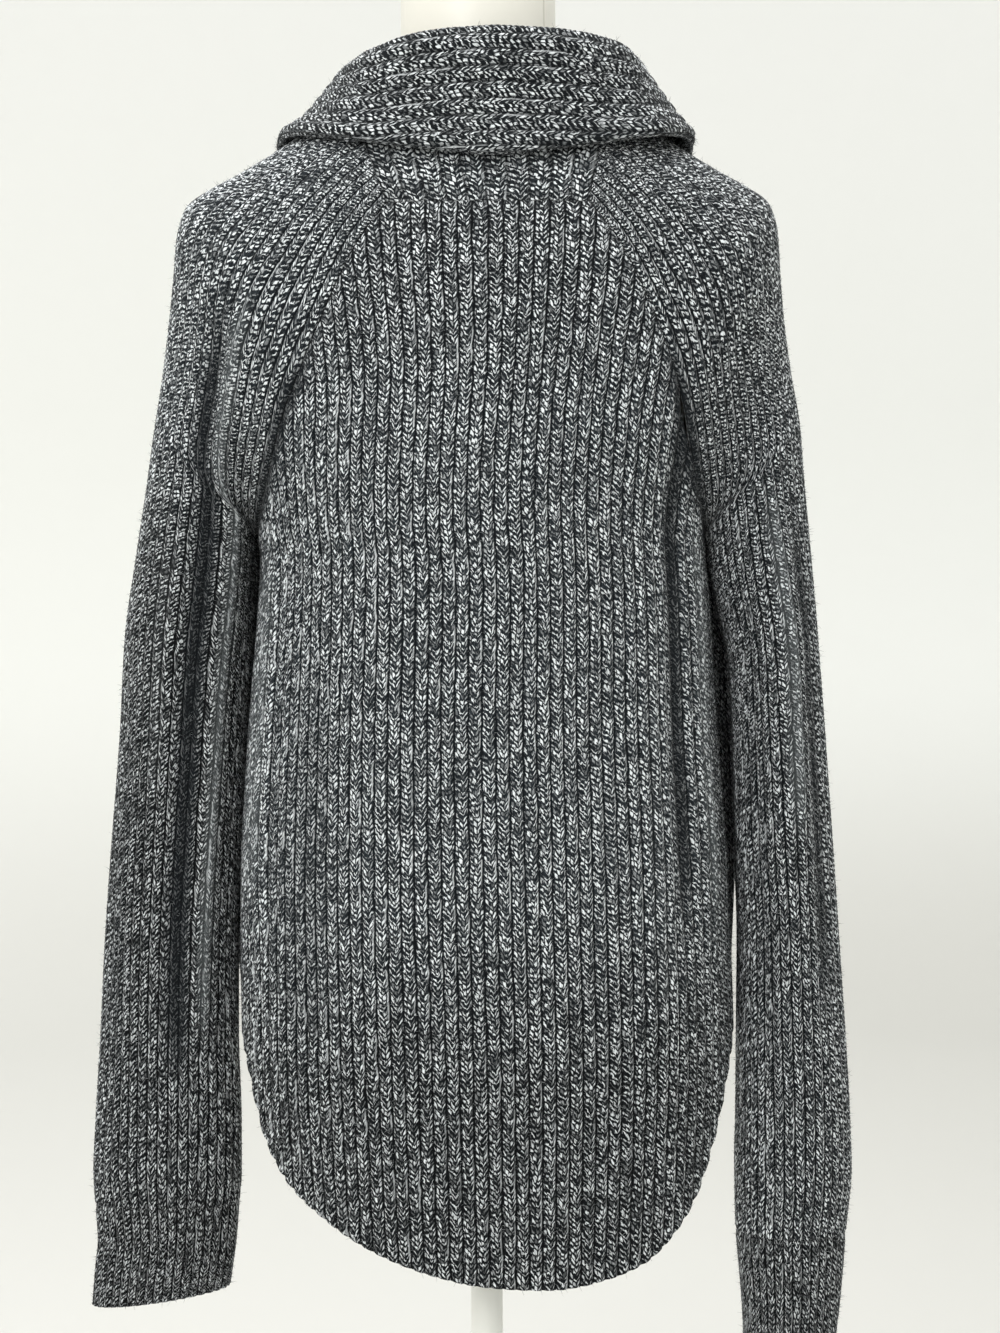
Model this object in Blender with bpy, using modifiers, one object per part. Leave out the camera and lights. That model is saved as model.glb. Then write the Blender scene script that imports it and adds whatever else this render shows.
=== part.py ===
"""Shawl collar cardigan in chunky ribbed knit, worn by a limbless dress form on a round stand.

Metres, +Z up, the cardigan's front faces -Y, the wearer's left is +X.
Every cloth piece is one closed thin wall: a surface worked out from the tables of sizes below,
ribs raised on its outer side and a plain inner side.
"""
import math

import bmesh
import bpy
import numpy as np
from mathutils import Vector
from mathutils.bvhtree import BVHTree

MM = 0.001

# ------------------------------------------------------------------ driving dimensions (mm)
WALL = 2.6                # cloth between the ribs
RIB = 1.4                 # height of a rib above the cloth
SEAM_GAP = 0.3            # clear space between two sewn pieces
RIBS_HALF_BACK = 25       # ribs from the centre back to a side seam
RIBS_FRONT = 16           # ribs of one front
RIBS_SLEEVE = 38          # ribs round a sleeve and its cuff
RIBS_YOKE = 10            # ribs of the back-neck strip
FRONT_ROWS = 9            # rows of a front, shared by the band sewn to its edge
RIB_COLLAR = 10.6         # rib spacing of the collar, which runs along its length
ARMPIT_Z = 940.0          # where the body, the fronts and a sleeve meet
YOKE_Z = 1147.0           # seam under the back-neck strip
NECK_Z = 1212.0           # neckline at the centre back
BAND_X = 84.0             # front edge of a front panel, where the band starts
BAND_EDGE_X = 31.0        # free edge of the band
FRONT_HEM_Z = 600.0       # hem at the front edge

FALL_COLUMNS = 20         # half ribs of the collar between its free edge and its fold
FALL_SHARE = 0.60         # share of the collar's width that falls outside the fold
LIFT = 6.2                # the fall lies this far out from the cloth under it
FRONT_LIFT = 2.6          # and this much more over the fronts
FOLD_LEAN = 10.0          # the fold stands further out on the right
EDGE_LEAN = 8.0           # and so does the free edge over the shoulder
COLLAR_SHIFT = 7.0        # and the whole collar has slipped this far to the right
FOLD_DROP = 6.0           # the fold sinks on the left shoulder
FOLD_ROUND = 10.0         # how round the fold is
COLLAR_GAP = 0.45         # clear space along the seam that sews the collar on
BREAK_FROM = 6.6          # station where the fall starts to open into the flat band
BREAK_LONG = 1.5          # stations that this takes
BREAK_RISE = 16.0         # how far the cloth curls out there

STAND_BASE_R = 145.0      # round base plate
STAND_BASE_H = 14.0
POLE_R = 10.7
FORM_FLOOR_Z = 640.0      # flat underside of the form

# Body rings: half width, sideways shift, depth behind and in front of the side seam line.
# Below the armpits the fronts hang wider than the back, in a soft flare behind each sleeve:
# "flare" is the left front's and "right" the right one's.
BODY = {
    "z":     (440, 520, 600, 700, 800, 900, 925, 940, 956, 982, 1013, 1042, 1088, 1122, 1147),
    "half":  (154, 160, 164, 162.5, 156.5, 149.5, 148, 150, 154, 165, 178, 185, 187, 188, 188),
    "shift": (-3, -2.5, -2, -0.5, 0, -1.5, -1, 0, 0, -1, -3, -5, -6, -6, -6),
    "back":  (106, 110, 113, 116, 118, 121, 122, 122, 122, 122, 121, 119.5, 113, 105, 97),
    "front": (112, 116, 121, 127, 132, 138, 139, 139, 139, 137, 134, 127, 113, 99, 86),
    "flare": (0, 0, 14, 34, 40, 28, 6, 0, 0, 0, 0, 0, 0, 0, 0),
    "right": (0, 0, 12, 29, 37, 30, 6, 0, 0, 0, 0, 0, 0, 0, 0),
}
FLARE_END = 1.15          # angle on the ring, from the side seam, where the flare has died out
# Raglan seam: distance of the seam from the centre line at each height.
RAGLAN = {
    "z":    (940, 956, 982, 1013, 1042, 1088, 1122, 1147),
    "half": (150, 144, 137, 129, 119, 100, 83, 65),
}
# Back-neck strip: how far back its centre line stands.
STRIP = {
    "z":    (1147, 1165, 1185, 1200, 1212),
    "back": (97, 91.5, 84, 77, 70.5),
}
# Rows of a sleeve over the shoulder: the row's highest point and the seam height it starts at.
SHOULDER = {
    "out":  (86, 112, 136, 160, 182, 196, 202, 204.5, 208, 212.5, 218),
    "right": (86, 112, 136, 159, 180, 193.5, 199, 200.5, 203, 207.5, 213),
    "z":    (1224, 1210.5, 1194.5, 1180.5, 1169, 1158.5, 1139, 1112, 1080, 1045, 1010),
    "seam": (1147, 1134, 1117, 1094, 1068, 1046, 1022, 998, 976, 957, 940),
    "deep": (0, 0, 0, 0, 0, 0, 0, 0, 2, 13, 58),
}
# Rows of each sleeve below the armpit: outer and inner side, half depth and centre of depth.
ARM_LEFT = {
    "out":  (223.5, 231.5, 239, 243.5, 249.5, 254.5, 258.5, 262, 263.5, 262.5, 261, 263, 265),
    "z":    (972, 922, 872, 803, 735, 672, 600, 545, 510, 490, 465, 445, 421),
    "in":   (152, 154, 157, 161.5, 165, 167.5, 168, 166.5, 166.5, 168, 170, 172.5, 174.5),
    "in_z": (919, 888, 850, 789, 728, 668, 600, 545, 510, 490, 465, 447, 434),
    "deep": (57, 55, 50, 45, 42, 40, 37, 34, 32, 28, 25, 25, 26),
    "y":    (0, 0, 0, -1, -3, -4, -4, -4, -3, -3, -3, -3, -3),
}
ARM_RIGHT = {
    "out":  (215.5, 219.5, 223.5, 227, 231.5, 235.5, 240.5, 244, 245, 241, 239, 236.5, 233.6),
    "z":    (975, 925, 872, 799, 732, 672, 600, 545, 512, 470, 445, 420, 397),
    "in":   (155, 161, 167.5, 169, 170.5, 172.5, 171.5, 170.5, 169.5, 170, 172, 174, 175),
    "in_z": (919, 888, 850, 795, 730, 672, 600, 545, 512, 470, 443, 417, 395),
    "deep": (57, 58, 59, 58, 56, 53, 49, 46, 44, 41, 39, 38, 38),
    "y":    (0, 1, 2, 3, 2, 0, -2, -2, -2, -2, -2, -2, -2),
}
CUFF_ROW = 9              # row of the arm tables at the cuff seam

# Collar and bands, one half: its fold, the crease of its fall and its free edge.
COLLAR = {
    "fold_x": (0, 44, 74, 86, 82, 61, 60, 52, 42),
    "fold_y": (80, 73, 50, 2, -52, -104, -125, -140, -145),
    "fold_z": (1262, 1260, 1257, 1256, 1233, 1176, 1106, 1020, 950),
    "lip_x":  (0, 48, 87, 112, 116, 110, 98, 78, 52),
    "lip_y":  (92, 87, 70, 8, -48, -84, -108, -131, -140),
    "lip_z":  (1204, 1207, 1218, 1231, 1202, 1152, 1078, 1004, 940),
    "edge_x": (0, 50, 100, 134, 138, 130, 114, 90, 56),
    "edge_y": (95, 92, 76, 14, -53, -86, -104, -124, -136),
    "edge_z": (1177, 1183, 1193, 1201, 1178, 1114, 1048, 985, 932),
}

# Stations of the collar's rows: 0 centre back, 2 end of the back-neck strip, 3 top of the shoulder,
# 5 top of a front, then the rows of the front down to its hem at 13.
COLLAR_STATIONS = (0.5, 1.0, 1.5, 2.0, 2.4, 2.8, 3.2, 3.6, 4.0, 4.5, 5.0, 5.5, 6.0, 6.5, 7.0,
                   7.35, 7.7, 8.0, 8.4, 9.0, 10.0, 11.0, 12.0, 13.0)

# Back hem: a deep rounded tail, height against the distance from the centre line.
TAIL = {
    "x": (-170, -162, -150, -137, -122, -103, -80, -45, 0, 30, 56, 83, 101, 125, 142, 156, 165),
    "z": (640, 590, 540, 505, 483, 467, 459, 454, 457, 463, 471, 483, 494, 513, 538, 586, 622),
}

# Soft drape: centre across (0 back edge .. 1 front edge), width across, top, bottom, height.
FOLDS_LEFT = ((0.16, 0.05, 1010, 640, -3.2), (0.26, 0.05, 1030, 700, 2.6),
              (0.45, 0.06, 900, 520, -2.0), (0.70, 0.06, 1000, 650, -3.0),
              (0.80, 0.05, 960, 560, 2.2))
FOLDS_RIGHT = ((0.30, 0.06, 1020, 620, -3.0), (0.21, 0.05, 1000, 680, 2.4),
               (0.52, 0.06, 880, 540, 2.0), (0.68, 0.06, 1010, 640, -3.0),
               (0.82, 0.05, 940, 580, 2.4))
# On the body the centre is the share of the way from centre back to a side seam, signed.
FOLDS_BACK = ((-0.78, 0.10, 1000, 640, 3.5), (-0.60, 0.09, 960, 600, -2.5),
              (0.80, 0.10, 980, 650, 3.0), (0.55, 0.12, 900, 560, -2.0),
              (0.02, 0.20, 860, 500, -2.5))

CREAM = (0.86, 0.85, 0.81, 1.0)
WHITE = (0.88, 0.88, 0.86, 1.0)
KNIT = (0.105, 0.110, 0.115, 1.0)


# ------------------------------------------------------------------ small helpers
def clear_scene():
    """Remove whatever the start-up file holds."""
    for item in list(bpy.data.objects):
        bpy.data.objects.remove(item, do_unlink=True)


def ease(value):
    """Smooth 0 to 1 ramp."""
    value = np.clip(value, 0.0, 1.0)
    return value * value * (3.0 - 2.0 * value)


def curve(xs, ys, at):
    """Smooth curve through a table's stations, without overshoot."""
    xs = np.asarray(xs, float)
    ys = np.asarray(ys, float)
    at = np.clip(np.asarray(at, float), xs[0], xs[-1])
    step = np.diff(xs)
    rise = np.diff(ys) / step
    slope = np.empty_like(ys)
    slope[0] = rise[0]
    slope[-1] = rise[-1]
    same = rise[:-1] * rise[1:] > 0.0
    total = np.where(same, rise[:-1] + rise[1:], 1.0)
    slope[1:-1] = np.where(same, 2.0 * rise[:-1] * rise[1:] / total, 0.0)
    k = np.clip(np.searchsorted(xs, at, side="right") - 1, 0, len(xs) - 2)
    t = (at - xs[k]) / step[k]
    a = (2 * t ** 3 - 3 * t ** 2 + 1) * ys[k] + (t ** 3 - 2 * t ** 2 + t) * step[k] * slope[k]
    b = (3 * t ** 2 - 2 * t ** 3) * ys[k + 1] + (t ** 3 - t ** 2) * step[k] * slope[k + 1]
    return a + b


def unit(vector):
    """Vectors of length one."""
    size = np.linalg.norm(vector, axis=-1, keepdims=True)
    return vector / np.maximum(size, 1e-9)


def join(*parts):
    """Stack coordinates into points."""
    return np.stack(np.broadcast_arrays(*parts), axis=-1)


# ------------------------------------------------------------------ body surface
def ring(z):
    """Half width, shift and depths of the body at height z."""
    return [curve(BODY["z"], BODY[key], z) for key in ("half", "shift", "back", "front")]


def raglan_angle(z):
    """Angle on the body ring where the raglan seam stands."""
    half = ring(z)[0]
    seam = curve(RAGLAN["z"], RAGLAN["half"], z)
    return np.arccos(np.clip(seam / half, -1.0, 1.0))


def quarter(z, samples=81):
    """Arc length from the side seam against angle, for half the back."""
    half, _, back, _ = ring(z)
    angle = np.linspace(0.0, math.pi / 2, samples)
    step = np.hypot(half * np.sin(angle), back * np.cos(angle))
    length = np.concatenate(([0.0], np.cumsum((step[1:] + step[:-1]) / 2 * angle[1])))
    return angle, length


def front_line(z, side, samples=121):
    """Front at height z from its side seam inward: length, x and y, and where its edge stands."""
    half, _, _, ahead = ring(z)
    angle = np.linspace(0.0, math.pi / 2, samples)
    bump = np.sin(math.pi * np.minimum(angle / FLARE_END, 1.0)) ** 2
    flare = BODY["flare" if side > 0 else "right"]
    x = half * np.cos(angle) + float(curve(BODY["z"], flare, z)) * bump
    y = -ahead * np.sin(angle)
    length = np.concatenate(([0.0], np.cumsum(np.hypot(np.diff(x), np.diff(y)))))
    widest = int(np.argmax(x))
    stop = float(np.interp(-front_edge(z), -x[widest:], length[widest:]))
    return length, x, y, stop


def stretch(z):
    """How much wider than at the armpit the ribs stand at height z."""
    return 1.0 + 0.16 * ease((z - 1010.0) / 140.0)


def back_angle(share, z):
    """Angle of a rib that keeps its share of the way from centre back to the side seam."""
    angle, length = quarter(z)
    whole = length[-1]
    if z > ARMPIT_Z:
        whole = quarter(ARMPIT_Z)[1][-1] * stretch(z)
    away = np.clip(length[-1] - abs(share) * whole, 0.0, length[-1])
    return float(np.interp(away, length, angle))


def front_edge(z):
    """Distance of the front edge from the centre line."""
    return float(curve((600, 1000, 1080, 1122, 1147), (BAND_X, BAND_X, 78, 72, 65), z))


def seam_frame(side, z, front):
    """Raglan seam: its point, the outward direction both pieces share and the way into the body."""
    z = np.asarray(z, float)
    turn = side * (-1.0 if front else 1.0)
    point = seam_point(side, z, front)
    low = seam_point(side, np.maximum(z - 1.0, ARMPIT_Z), front)
    high = seam_point(side, np.minimum(z + 1.0, YOKE_Z), front)
    along = unit(high - low)
    half, _, back, ahead = ring(z)
    angle = raglan_angle(z)
    depth = -ahead if front else back
    body_in = unit(join(-side * half * np.sin(angle), depth * np.cos(angle), 0.0 * z))
    pit = ease((ARMPIT_Z + 12.0 - z) / 12.0)[..., None]
    body_in = body_in * (1.0 - pit) + np.array((0.0, 0.0, -1.0)) * pit
    arm_in = sleeve_start(side, row_of_seam(z), front)
    body_in = unit(body_in - along * np.sum(body_in * along, -1, keepdims=True))
    arm_in = unit(arm_in - along * np.sum(arm_in * along, -1, keepdims=True))
    body_out = np.cross(body_in, along) * turn
    arm_out = np.cross(along, arm_in) * turn
    out = unit(body_out + arm_out + body_in + arm_in)
    into = np.cross(out, along)
    into *= np.where(np.sum(into * (body_in - arm_in), -1, keepdims=True) < 0.0, -1.0, 1.0)
    return point, out, unit(into)


def seam_point(side, z, front):
    """Point on the raglan seam of one side."""
    half, shift, back, ahead = ring(z)
    angle = raglan_angle(z)
    depth = np.where(front, -ahead, back)
    return join(shift + side * half * np.cos(angle), depth * np.sin(angle), z)


# ------------------------------------------------------------------ sleeve surface
def row_tables(side):
    """Stations of a sleeve from the neck to the cuff's end, as arrays."""
    arm = ARM_LEFT if side > 0 else ARM_RIGHT
    seam = np.array(SHOULDER["seam"], float)
    back = seam_point(side, seam, False)
    fore = seam_point(side, seam, True)
    shoulder = SHOULDER["out" if side > 0 else "right"]
    out = join(side * np.array(shoulder, float), 0.0 * seam, np.array(SHOULDER["z"], float))
    low_out = join(side * np.array(arm["out"], float), np.array(arm["y"], float),
                   np.array(arm["z"], float))
    low_in = join(side * np.array(arm["in"], float), np.array(arm["y"], float),
                  np.array(arm["in_z"], float))
    even = join(side * np.array(SHOULDER["out"], float), 0.0 * seam,
                np.array(SHOULDER["z"], float))
    step = np.linalg.norm(np.diff(np.concatenate((even, low_out)), axis=0), axis=1)
    out = np.concatenate((out, low_out))
    back = np.concatenate((back, low_in))
    fore = np.concatenate((fore, low_in))
    reach = np.abs(back[:, 1] - fore[:, 1]) / 2
    deep = np.concatenate((reach[:len(seam)] + np.array(SHOULDER["deep"], float),
                           np.array(arm["deep"], float)))
    run = np.concatenate(([0.0], np.cumsum(step)))
    return run, out, back, fore, deep


RUNS = {side: row_tables(side) for side in (1, -1)}
ARMPIT_STATION = len(SHOULDER["seam"]) - 1


def at_run(side, run):
    """Outer, back-seam and front-seam points and depth of the sleeve rows at these runs."""
    table = RUNS[side]
    top = table[0][ARMPIT_STATION]
    result = []
    for data in table[1:4]:
        result.append(join(*[curve(table[0], data[:, k], run) for k in range(3)]))
    upper = run < top
    seam = np.where(upper, seam_of_run(side, run), ARMPIT_Z)
    for k, front in ((1, False), (2, True)):
        exact = seam_point(side, seam, front)
        result[k] = np.where(upper[..., None], exact, result[k])
    deep = curve(table[0], table[4], run)
    return result[0], result[1], result[2], deep


def seam_of_run(side, run):
    """Seam height that a sleeve row starts at."""
    table = RUNS[side]
    n = ARMPIT_STATION + 1
    return curve(table[0][:n], SHOULDER["seam"], run)


def row_of_seam(z):
    """Run of the sleeve row that starts at seam height z (same on both sides)."""
    grid = np.linspace(0.0, RUNS[1][0][ARMPIT_STATION], 400)
    heights = seam_of_run(1, grid)
    return np.interp(-np.asarray(z, float), -heights, grid)


def row_shape(side, run):
    """Centre, outward and depth vectors of a sleeve row and the angle it starts at."""
    out, back, fore, deep = at_run(side, run)
    middle = (back + fore) / 2
    reach = np.linalg.norm(back - fore, axis=-1) / 2
    deep = np.maximum(deep, reach)
    start = -np.arccos(np.clip(reach / deep, 0.0, 1.0))
    away = (out - middle) / (1.0 - np.sin(start))[..., None]
    along = np.where((reach > 1.0)[..., None], unit(back - fore), np.array((0.0, 1.0, 0.0)))
    return out - away, away, along * deep[..., None], start


def sleeve_start(side, run, front):
    """Direction from the seam into the sleeve row."""
    _, away, depth, start = row_shape(side, run)
    angle = start[..., None]
    tangent = away * np.cos(angle) - depth * np.sin(angle)
    if front:
        tangent = away * np.cos(angle) + depth * np.sin(angle)
    return unit(tangent)


def sleeve_surface(side, run, share):
    """Points of a sleeve: run along it, share round it from the back seam to the front seam."""
    run = np.asarray(run, float)
    centre, away, depth, start = row_shape(side, run)
    fine = np.linspace(0.0, 1.0, 181)
    points = np.empty(run.shape + (len(share), 3))
    for i in np.ndindex(run.shape):
        angle = start[i] + (math.pi - 2 * start[i]) * fine
        path = centre[i] + np.outer(np.sin(angle), away[i]) + np.outer(np.cos(angle), depth[i])
        step = np.linalg.norm(np.diff(path, axis=0), axis=1)
        length = np.concatenate(([0.0], np.cumsum(step)))
        length /= length[-1]
        where = np.interp(share, length, angle)
        points[i] = centre[i] + np.outer(np.sin(where), away[i]) + np.outer(np.cos(where), depth[i])
    return points


def drape(folds, share, z):
    """Height of the soft folds at a place on the cloth."""
    height = np.zeros(np.broadcast(share, z).shape)
    for centre, width, top, bottom, size in folds:
        across = np.exp(-((share - centre) / width) ** 2)
        down = ease((top - z) / 90.0) * ease((z - bottom) / 90.0)
        height = height + size * across * down
    return height


# ------------------------------------------------------------------ turning surfaces into walls
def normals(points, closed=False):
    """Outward directions of a grid of points."""
    if closed:
        ring_points = np.concatenate((points[:, -2:-1], points, points[:, 1:2]), axis=1)
        across = ring_points[:, 2:] - ring_points[:, :-2]
    else:
        across = np.gradient(points, axis=1)
    down = np.gradient(points, axis=0)
    return unit(np.cross(across, down))


def add_mesh(name, points, faces, material):
    """Named object of one closed mesh, with shared corners merged and faces turned outward."""
    place = {}
    index = np.empty(len(points), int)
    kept = []
    for n, key in enumerate(map(tuple, np.round(points * 1e4).astype(np.int64))):
        if key not in place:
            place[key] = len(kept)
            kept.append(points[n] * MM)
        index[n] = place[key]
    clean = []
    for face in faces:
        loop = []
        for corner in face:
            v = int(index[corner])
            if not loop or loop[-1] != v:
                loop.append(v)
        if len(loop) > 1 and loop[0] == loop[-1]:
            loop.pop()
        if len(set(loop)) >= 3:
            clean.append(loop)
    mesh = bpy.data.meshes.new(name)
    mesh.from_pydata([tuple(p) for p in kept], [], clean)
    mesh.validate()
    work = bmesh.new()
    work.from_mesh(mesh)
    bmesh.ops.recalc_face_normals(work, faces=work.faces)
    if work.calc_volume(signed=True) < 0.0:
        bmesh.ops.reverse_faces(work, faces=work.faces)
    work.to_mesh(mesh)
    work.free()
    mesh.materials.append(material)
    thing = bpy.data.objects.new(name, mesh)
    COLLECTION.objects.link(thing)
    return thing


def every(cols, step):
    """Columns of a coarse side: every step-th one and the last."""
    picks = list(range(0, cols, step))
    picks[-1] = cols - 1
    return picks


def wall(name, outer, coarse, picks, material, open_rows=None):
    """Closed wall from a fine outer grid and a coarse inner grid whose columns lie at picks.

    open_rows: number of first rows whose two side edges stand apart; later rows are a tube.
    """
    rows, cols = outer.shape[:2]
    count = len(picks)
    points = np.concatenate((outer.reshape(-1, 3), coarse.reshape(-1, 3)))
    base = rows * cols

    def a(i, j):
        return i * cols + j

    def b(i, k):
        return base + i * count + k

    faces = []
    for i in range(rows - 1):
        for j in range(cols - 1):
            faces.append((a(i, j), a(i, j + 1), a(i + 1, j + 1), a(i + 1, j)))
        for k in range(count - 1):
            faces.append((b(i, k), b(i + 1, k), b(i + 1, k + 1), b(i, k + 1)))
    for k in range(count - 1):
        run = list(range(picks[k], picks[k + 1] + 1))
        faces.append([b(0, k), b(0, k + 1)] + [a(0, j) for j in reversed(run)])
        faces.append([b(rows - 1, k + 1), b(rows - 1, k)] + [a(rows - 1, j) for j in run])
    stop = rows - 1 if open_rows is None else open_rows
    for i in range(stop):
        faces.append((a(i, 0), a(i + 1, 0), b(i + 1, 0), b(i, 0)))
        faces.append((a(i, cols - 1), b(i, count - 1), b(i + 1, count - 1), a(i + 1, cols - 1)))
    return add_mesh(name, points, faces, material)


def ribbed(points, outward, phase, fade):
    """Outer and inner points of the wall; phase counts ribs across the grid."""
    wave = 0.5 - 0.5 * np.cos(2 * math.pi * phase)
    outer = points + outward * (RIB * wave * fade)[..., None]
    inner = points - outward * WALL
    return outer, inner


def edge_fade(distance):
    """Ribs sink towards a seam."""
    return 0.15 + 0.85 * ease(distance / 14.0)


# ------------------------------------------------------------------ seams shared by two pieces
SEAM_ROWS = np.array((1147, 1118, 1084, 1046, 1010, 980, 960, 948, 940), float)


# Exact seam points and directions at the sleeve's rows.
SEAMS = {(side, front): seam_frame(side, SEAM_ROWS, front)
         for side in (1, -1) for front in (False, True)}


def on_seam(side, front, z):
    """Straight-run seam between the sleeve's rows, so both pieces follow one line."""
    result = []
    for data in SEAMS[(side, front)]:
        columns = [np.interp(-np.asarray(z, float), -SEAM_ROWS, data[:, k]) for k in range(3)]
        result.append(join(*columns))
    return result[0], unit(result[1]), unit(result[2])


def neck_arc(side, angle):
    """Neck end of a sleeve by its angle (0 at the back seam, a half turn at the front seam)."""
    centre, away, depth, _ = row_shape(side, np.array(0.0))
    return centre + np.outer(np.sin(angle), away) + np.outer(np.cos(angle), depth)


def arc_angle(side, z):
    """Angle of the neck end where it passes height z behind the shoulder."""
    grid = np.linspace(0.0, math.pi / 2, 400)
    return np.interp(z, neck_arc(side, grid)[:, 2], grid)


def strip_surface(share, part):
    """Back-neck strip: share -1..1 across, part 0..1 up."""
    height = YOKE_Z + (NECK_Z - YOKE_Z) * np.asarray(part, float)
    grid = np.empty((len(height), len(share), 3))
    for i, z in enumerate(height):
        ends = {side: neck_arc(side, np.array([arc_angle(side, z)]))[0] for side in (1, -1)}
        if i == 0 and part[0] == 0.0:
            ends = {side: seam_point(side, np.array(YOKE_Z), False) for side in (1, -1)}
        middle = (ends[1][0] + ends[-1][0]) / 2
        span = (ends[1][0] - ends[-1][0]) / 2
        deep = float(curve(STRIP["z"], STRIP["back"], z))
        side_y = (ends[1][1] + ends[-1][1]) / 2
        half = span / math.sqrt(1.0 - (side_y / deep) ** 2)
        x = span * np.asarray(share)
        y = deep * np.sqrt(1.0 - (x / half) ** 2)
        grid[i] = join(middle + x, y, z + 0.0 * x)
        for side, column in ((1, share > 0), (-1, share < 0)):
            lift = (ends[side] - np.array((middle + side * span, side_y, z)))
            grid[i][column] += np.outer(np.abs(share[column]), lift)
    return grid


def neck_frame(side, angle):
    """Neck end of a sleeve: shared outward direction and the way towards the centre back."""
    point = neck_arc(side, angle)
    along = unit(neck_arc(side, angle + 0.01) - neck_arc(side, angle - 0.01))
    step = row_shape(side, np.array(3.0))
    centre, away, depth, _ = step
    later = centre + np.outer(np.sin(angle), away) + np.outer(np.cos(angle), depth)
    arm_in = later - point
    arm_in = unit(arm_in - along * np.sum(arm_in * along, -1, keepdims=True))
    arm_out = np.cross(along, arm_in) * side
    strip_in = join(-side + 0.0 * angle, 0.25 * np.cos(angle), 0.15 * np.sin(angle))
    strip_in = unit(strip_in - along * np.sum(strip_in * along, -1, keepdims=True))
    strip_out = np.cross(strip_in, along) * side
    behind = ease((arc_angle(side, NECK_Z) + 0.15 - angle) / 0.3)[..., None]
    out = unit(arm_out + strip_out * behind)
    into = unit(np.cross(out, along))
    into *= np.where(np.sum(into * arm_in, -1, keepdims=True) > 0.0, -1.0, 1.0)
    return point, out, into


# ------------------------------------------------------------------ the cloth pieces
def column_tops():
    """Share of the half back that each seam height cuts."""
    heights = np.linspace(ARMPIT_Z, YOKE_Z, 300)
    whole = quarter(ARMPIT_Z)[1][-1]
    shares = []
    for z in heights:
        angle, length = quarter(z)
        seam = np.interp(raglan_angle(z), angle, length)
        shares.append((length[-1] - seam) / (whole * float(stretch(z))))
    return heights, np.array(shares)


TOP_HEIGHTS, TOP_SHARES = column_tops()
CORNER_SHARE = float(TOP_SHARES[-1])


def back_top(share):
    """Height where a rib of the back ends, at the raglan seam or under the strip."""
    return np.interp(-np.abs(share), -TOP_SHARES, TOP_HEIGHTS)


def back_place(share, z):
    """Point of the back on the rib at this share of the half width."""
    angle = back_angle(share, z)
    half, shift, back, _ = ring(z)
    side = 1.0 if share >= 0.0 else -1.0
    return np.array((shift + side * half * math.cos(angle), back * math.sin(angle), z))


def pin_columns(share, marks):
    """Move every second column's nearest neighbour onto the corners of the seam."""
    share = share.copy()
    for mark in marks:
        k = 2 * int(np.argmin(np.abs(share[::2] - mark)))
        if 0 < k < len(share) - 1:
            share[k] = mark
            share[k - 1] = (share[k - 2] + mark) / 2
            share[k + 1] = (share[k + 2] + mark) / 2
    return share


def hem_height(share):
    """Height of the tail on this rib."""
    z = 600.0
    for _ in range(30):
        z = 0.5 * z + 0.5 * float(curve(TAIL["x"], TAIL["z"], back_place(share, z)[0]))
    return z


def make_back(material):
    """Back from the tail hem to the raglan seams and the strip."""
    count = RIBS_HALF_BACK * 4 + 1
    share = np.linspace(-1.0, 1.0, count)
    marks = np.interp(SEAM_ROWS[:-1], TOP_HEIGHTS, TOP_SHARES)
    share = pin_columns(share, np.concatenate((marks, -marks)))
    rows = 10
    grid = np.empty((rows, count, 3))
    for j, f in enumerate(share):
        low = hem_height(f)
        high = float(back_top(f))
        for i in range(rows):
            z = high + (low - high) * i / (rows - 1)
            grid[i, j] = back_place(f, z)
    outward = normals(grid)
    grid += outward * drape(FOLDS_BACK, share[None, :], grid[..., 2])[..., None]
    fade = edge_fade((1.0 - np.abs(share))[None, :] * 210.0 + 0.0 * grid[..., 0])
    for j, f in enumerate(share):
        side = 1 if f > 0 else -1
        if abs(f) >= CORNER_SHARE - 1e-9:
            point, out, into = on_seam(side, False, back_top(f))
            grid[0, j] = point + into * SEAM_GAP / 2
            outward[0, j] = out
            fade[0, j] = 0.25
        else:
            grid[0, j, 2] -= SEAM_GAP / 2
            fade[0, j] = 0.6
    for j, side in ((0, -1), (count - 1, 1)):
        grid[:, j, 1] = SEAM_GAP / 2
        outward[1:, j] = (side, 0.0, 0.0)
        outward[0, j] = (0.0, 0.0, -1.0)
    outer, inner = ribbed(grid, outward, np.arange(count)[None, :] / 2.0 + 0.0 * fade, fade)
    picks = every(count, 2)
    wall("back", outer, inner[:, picks], picks, material)
    return grid, outward


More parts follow.
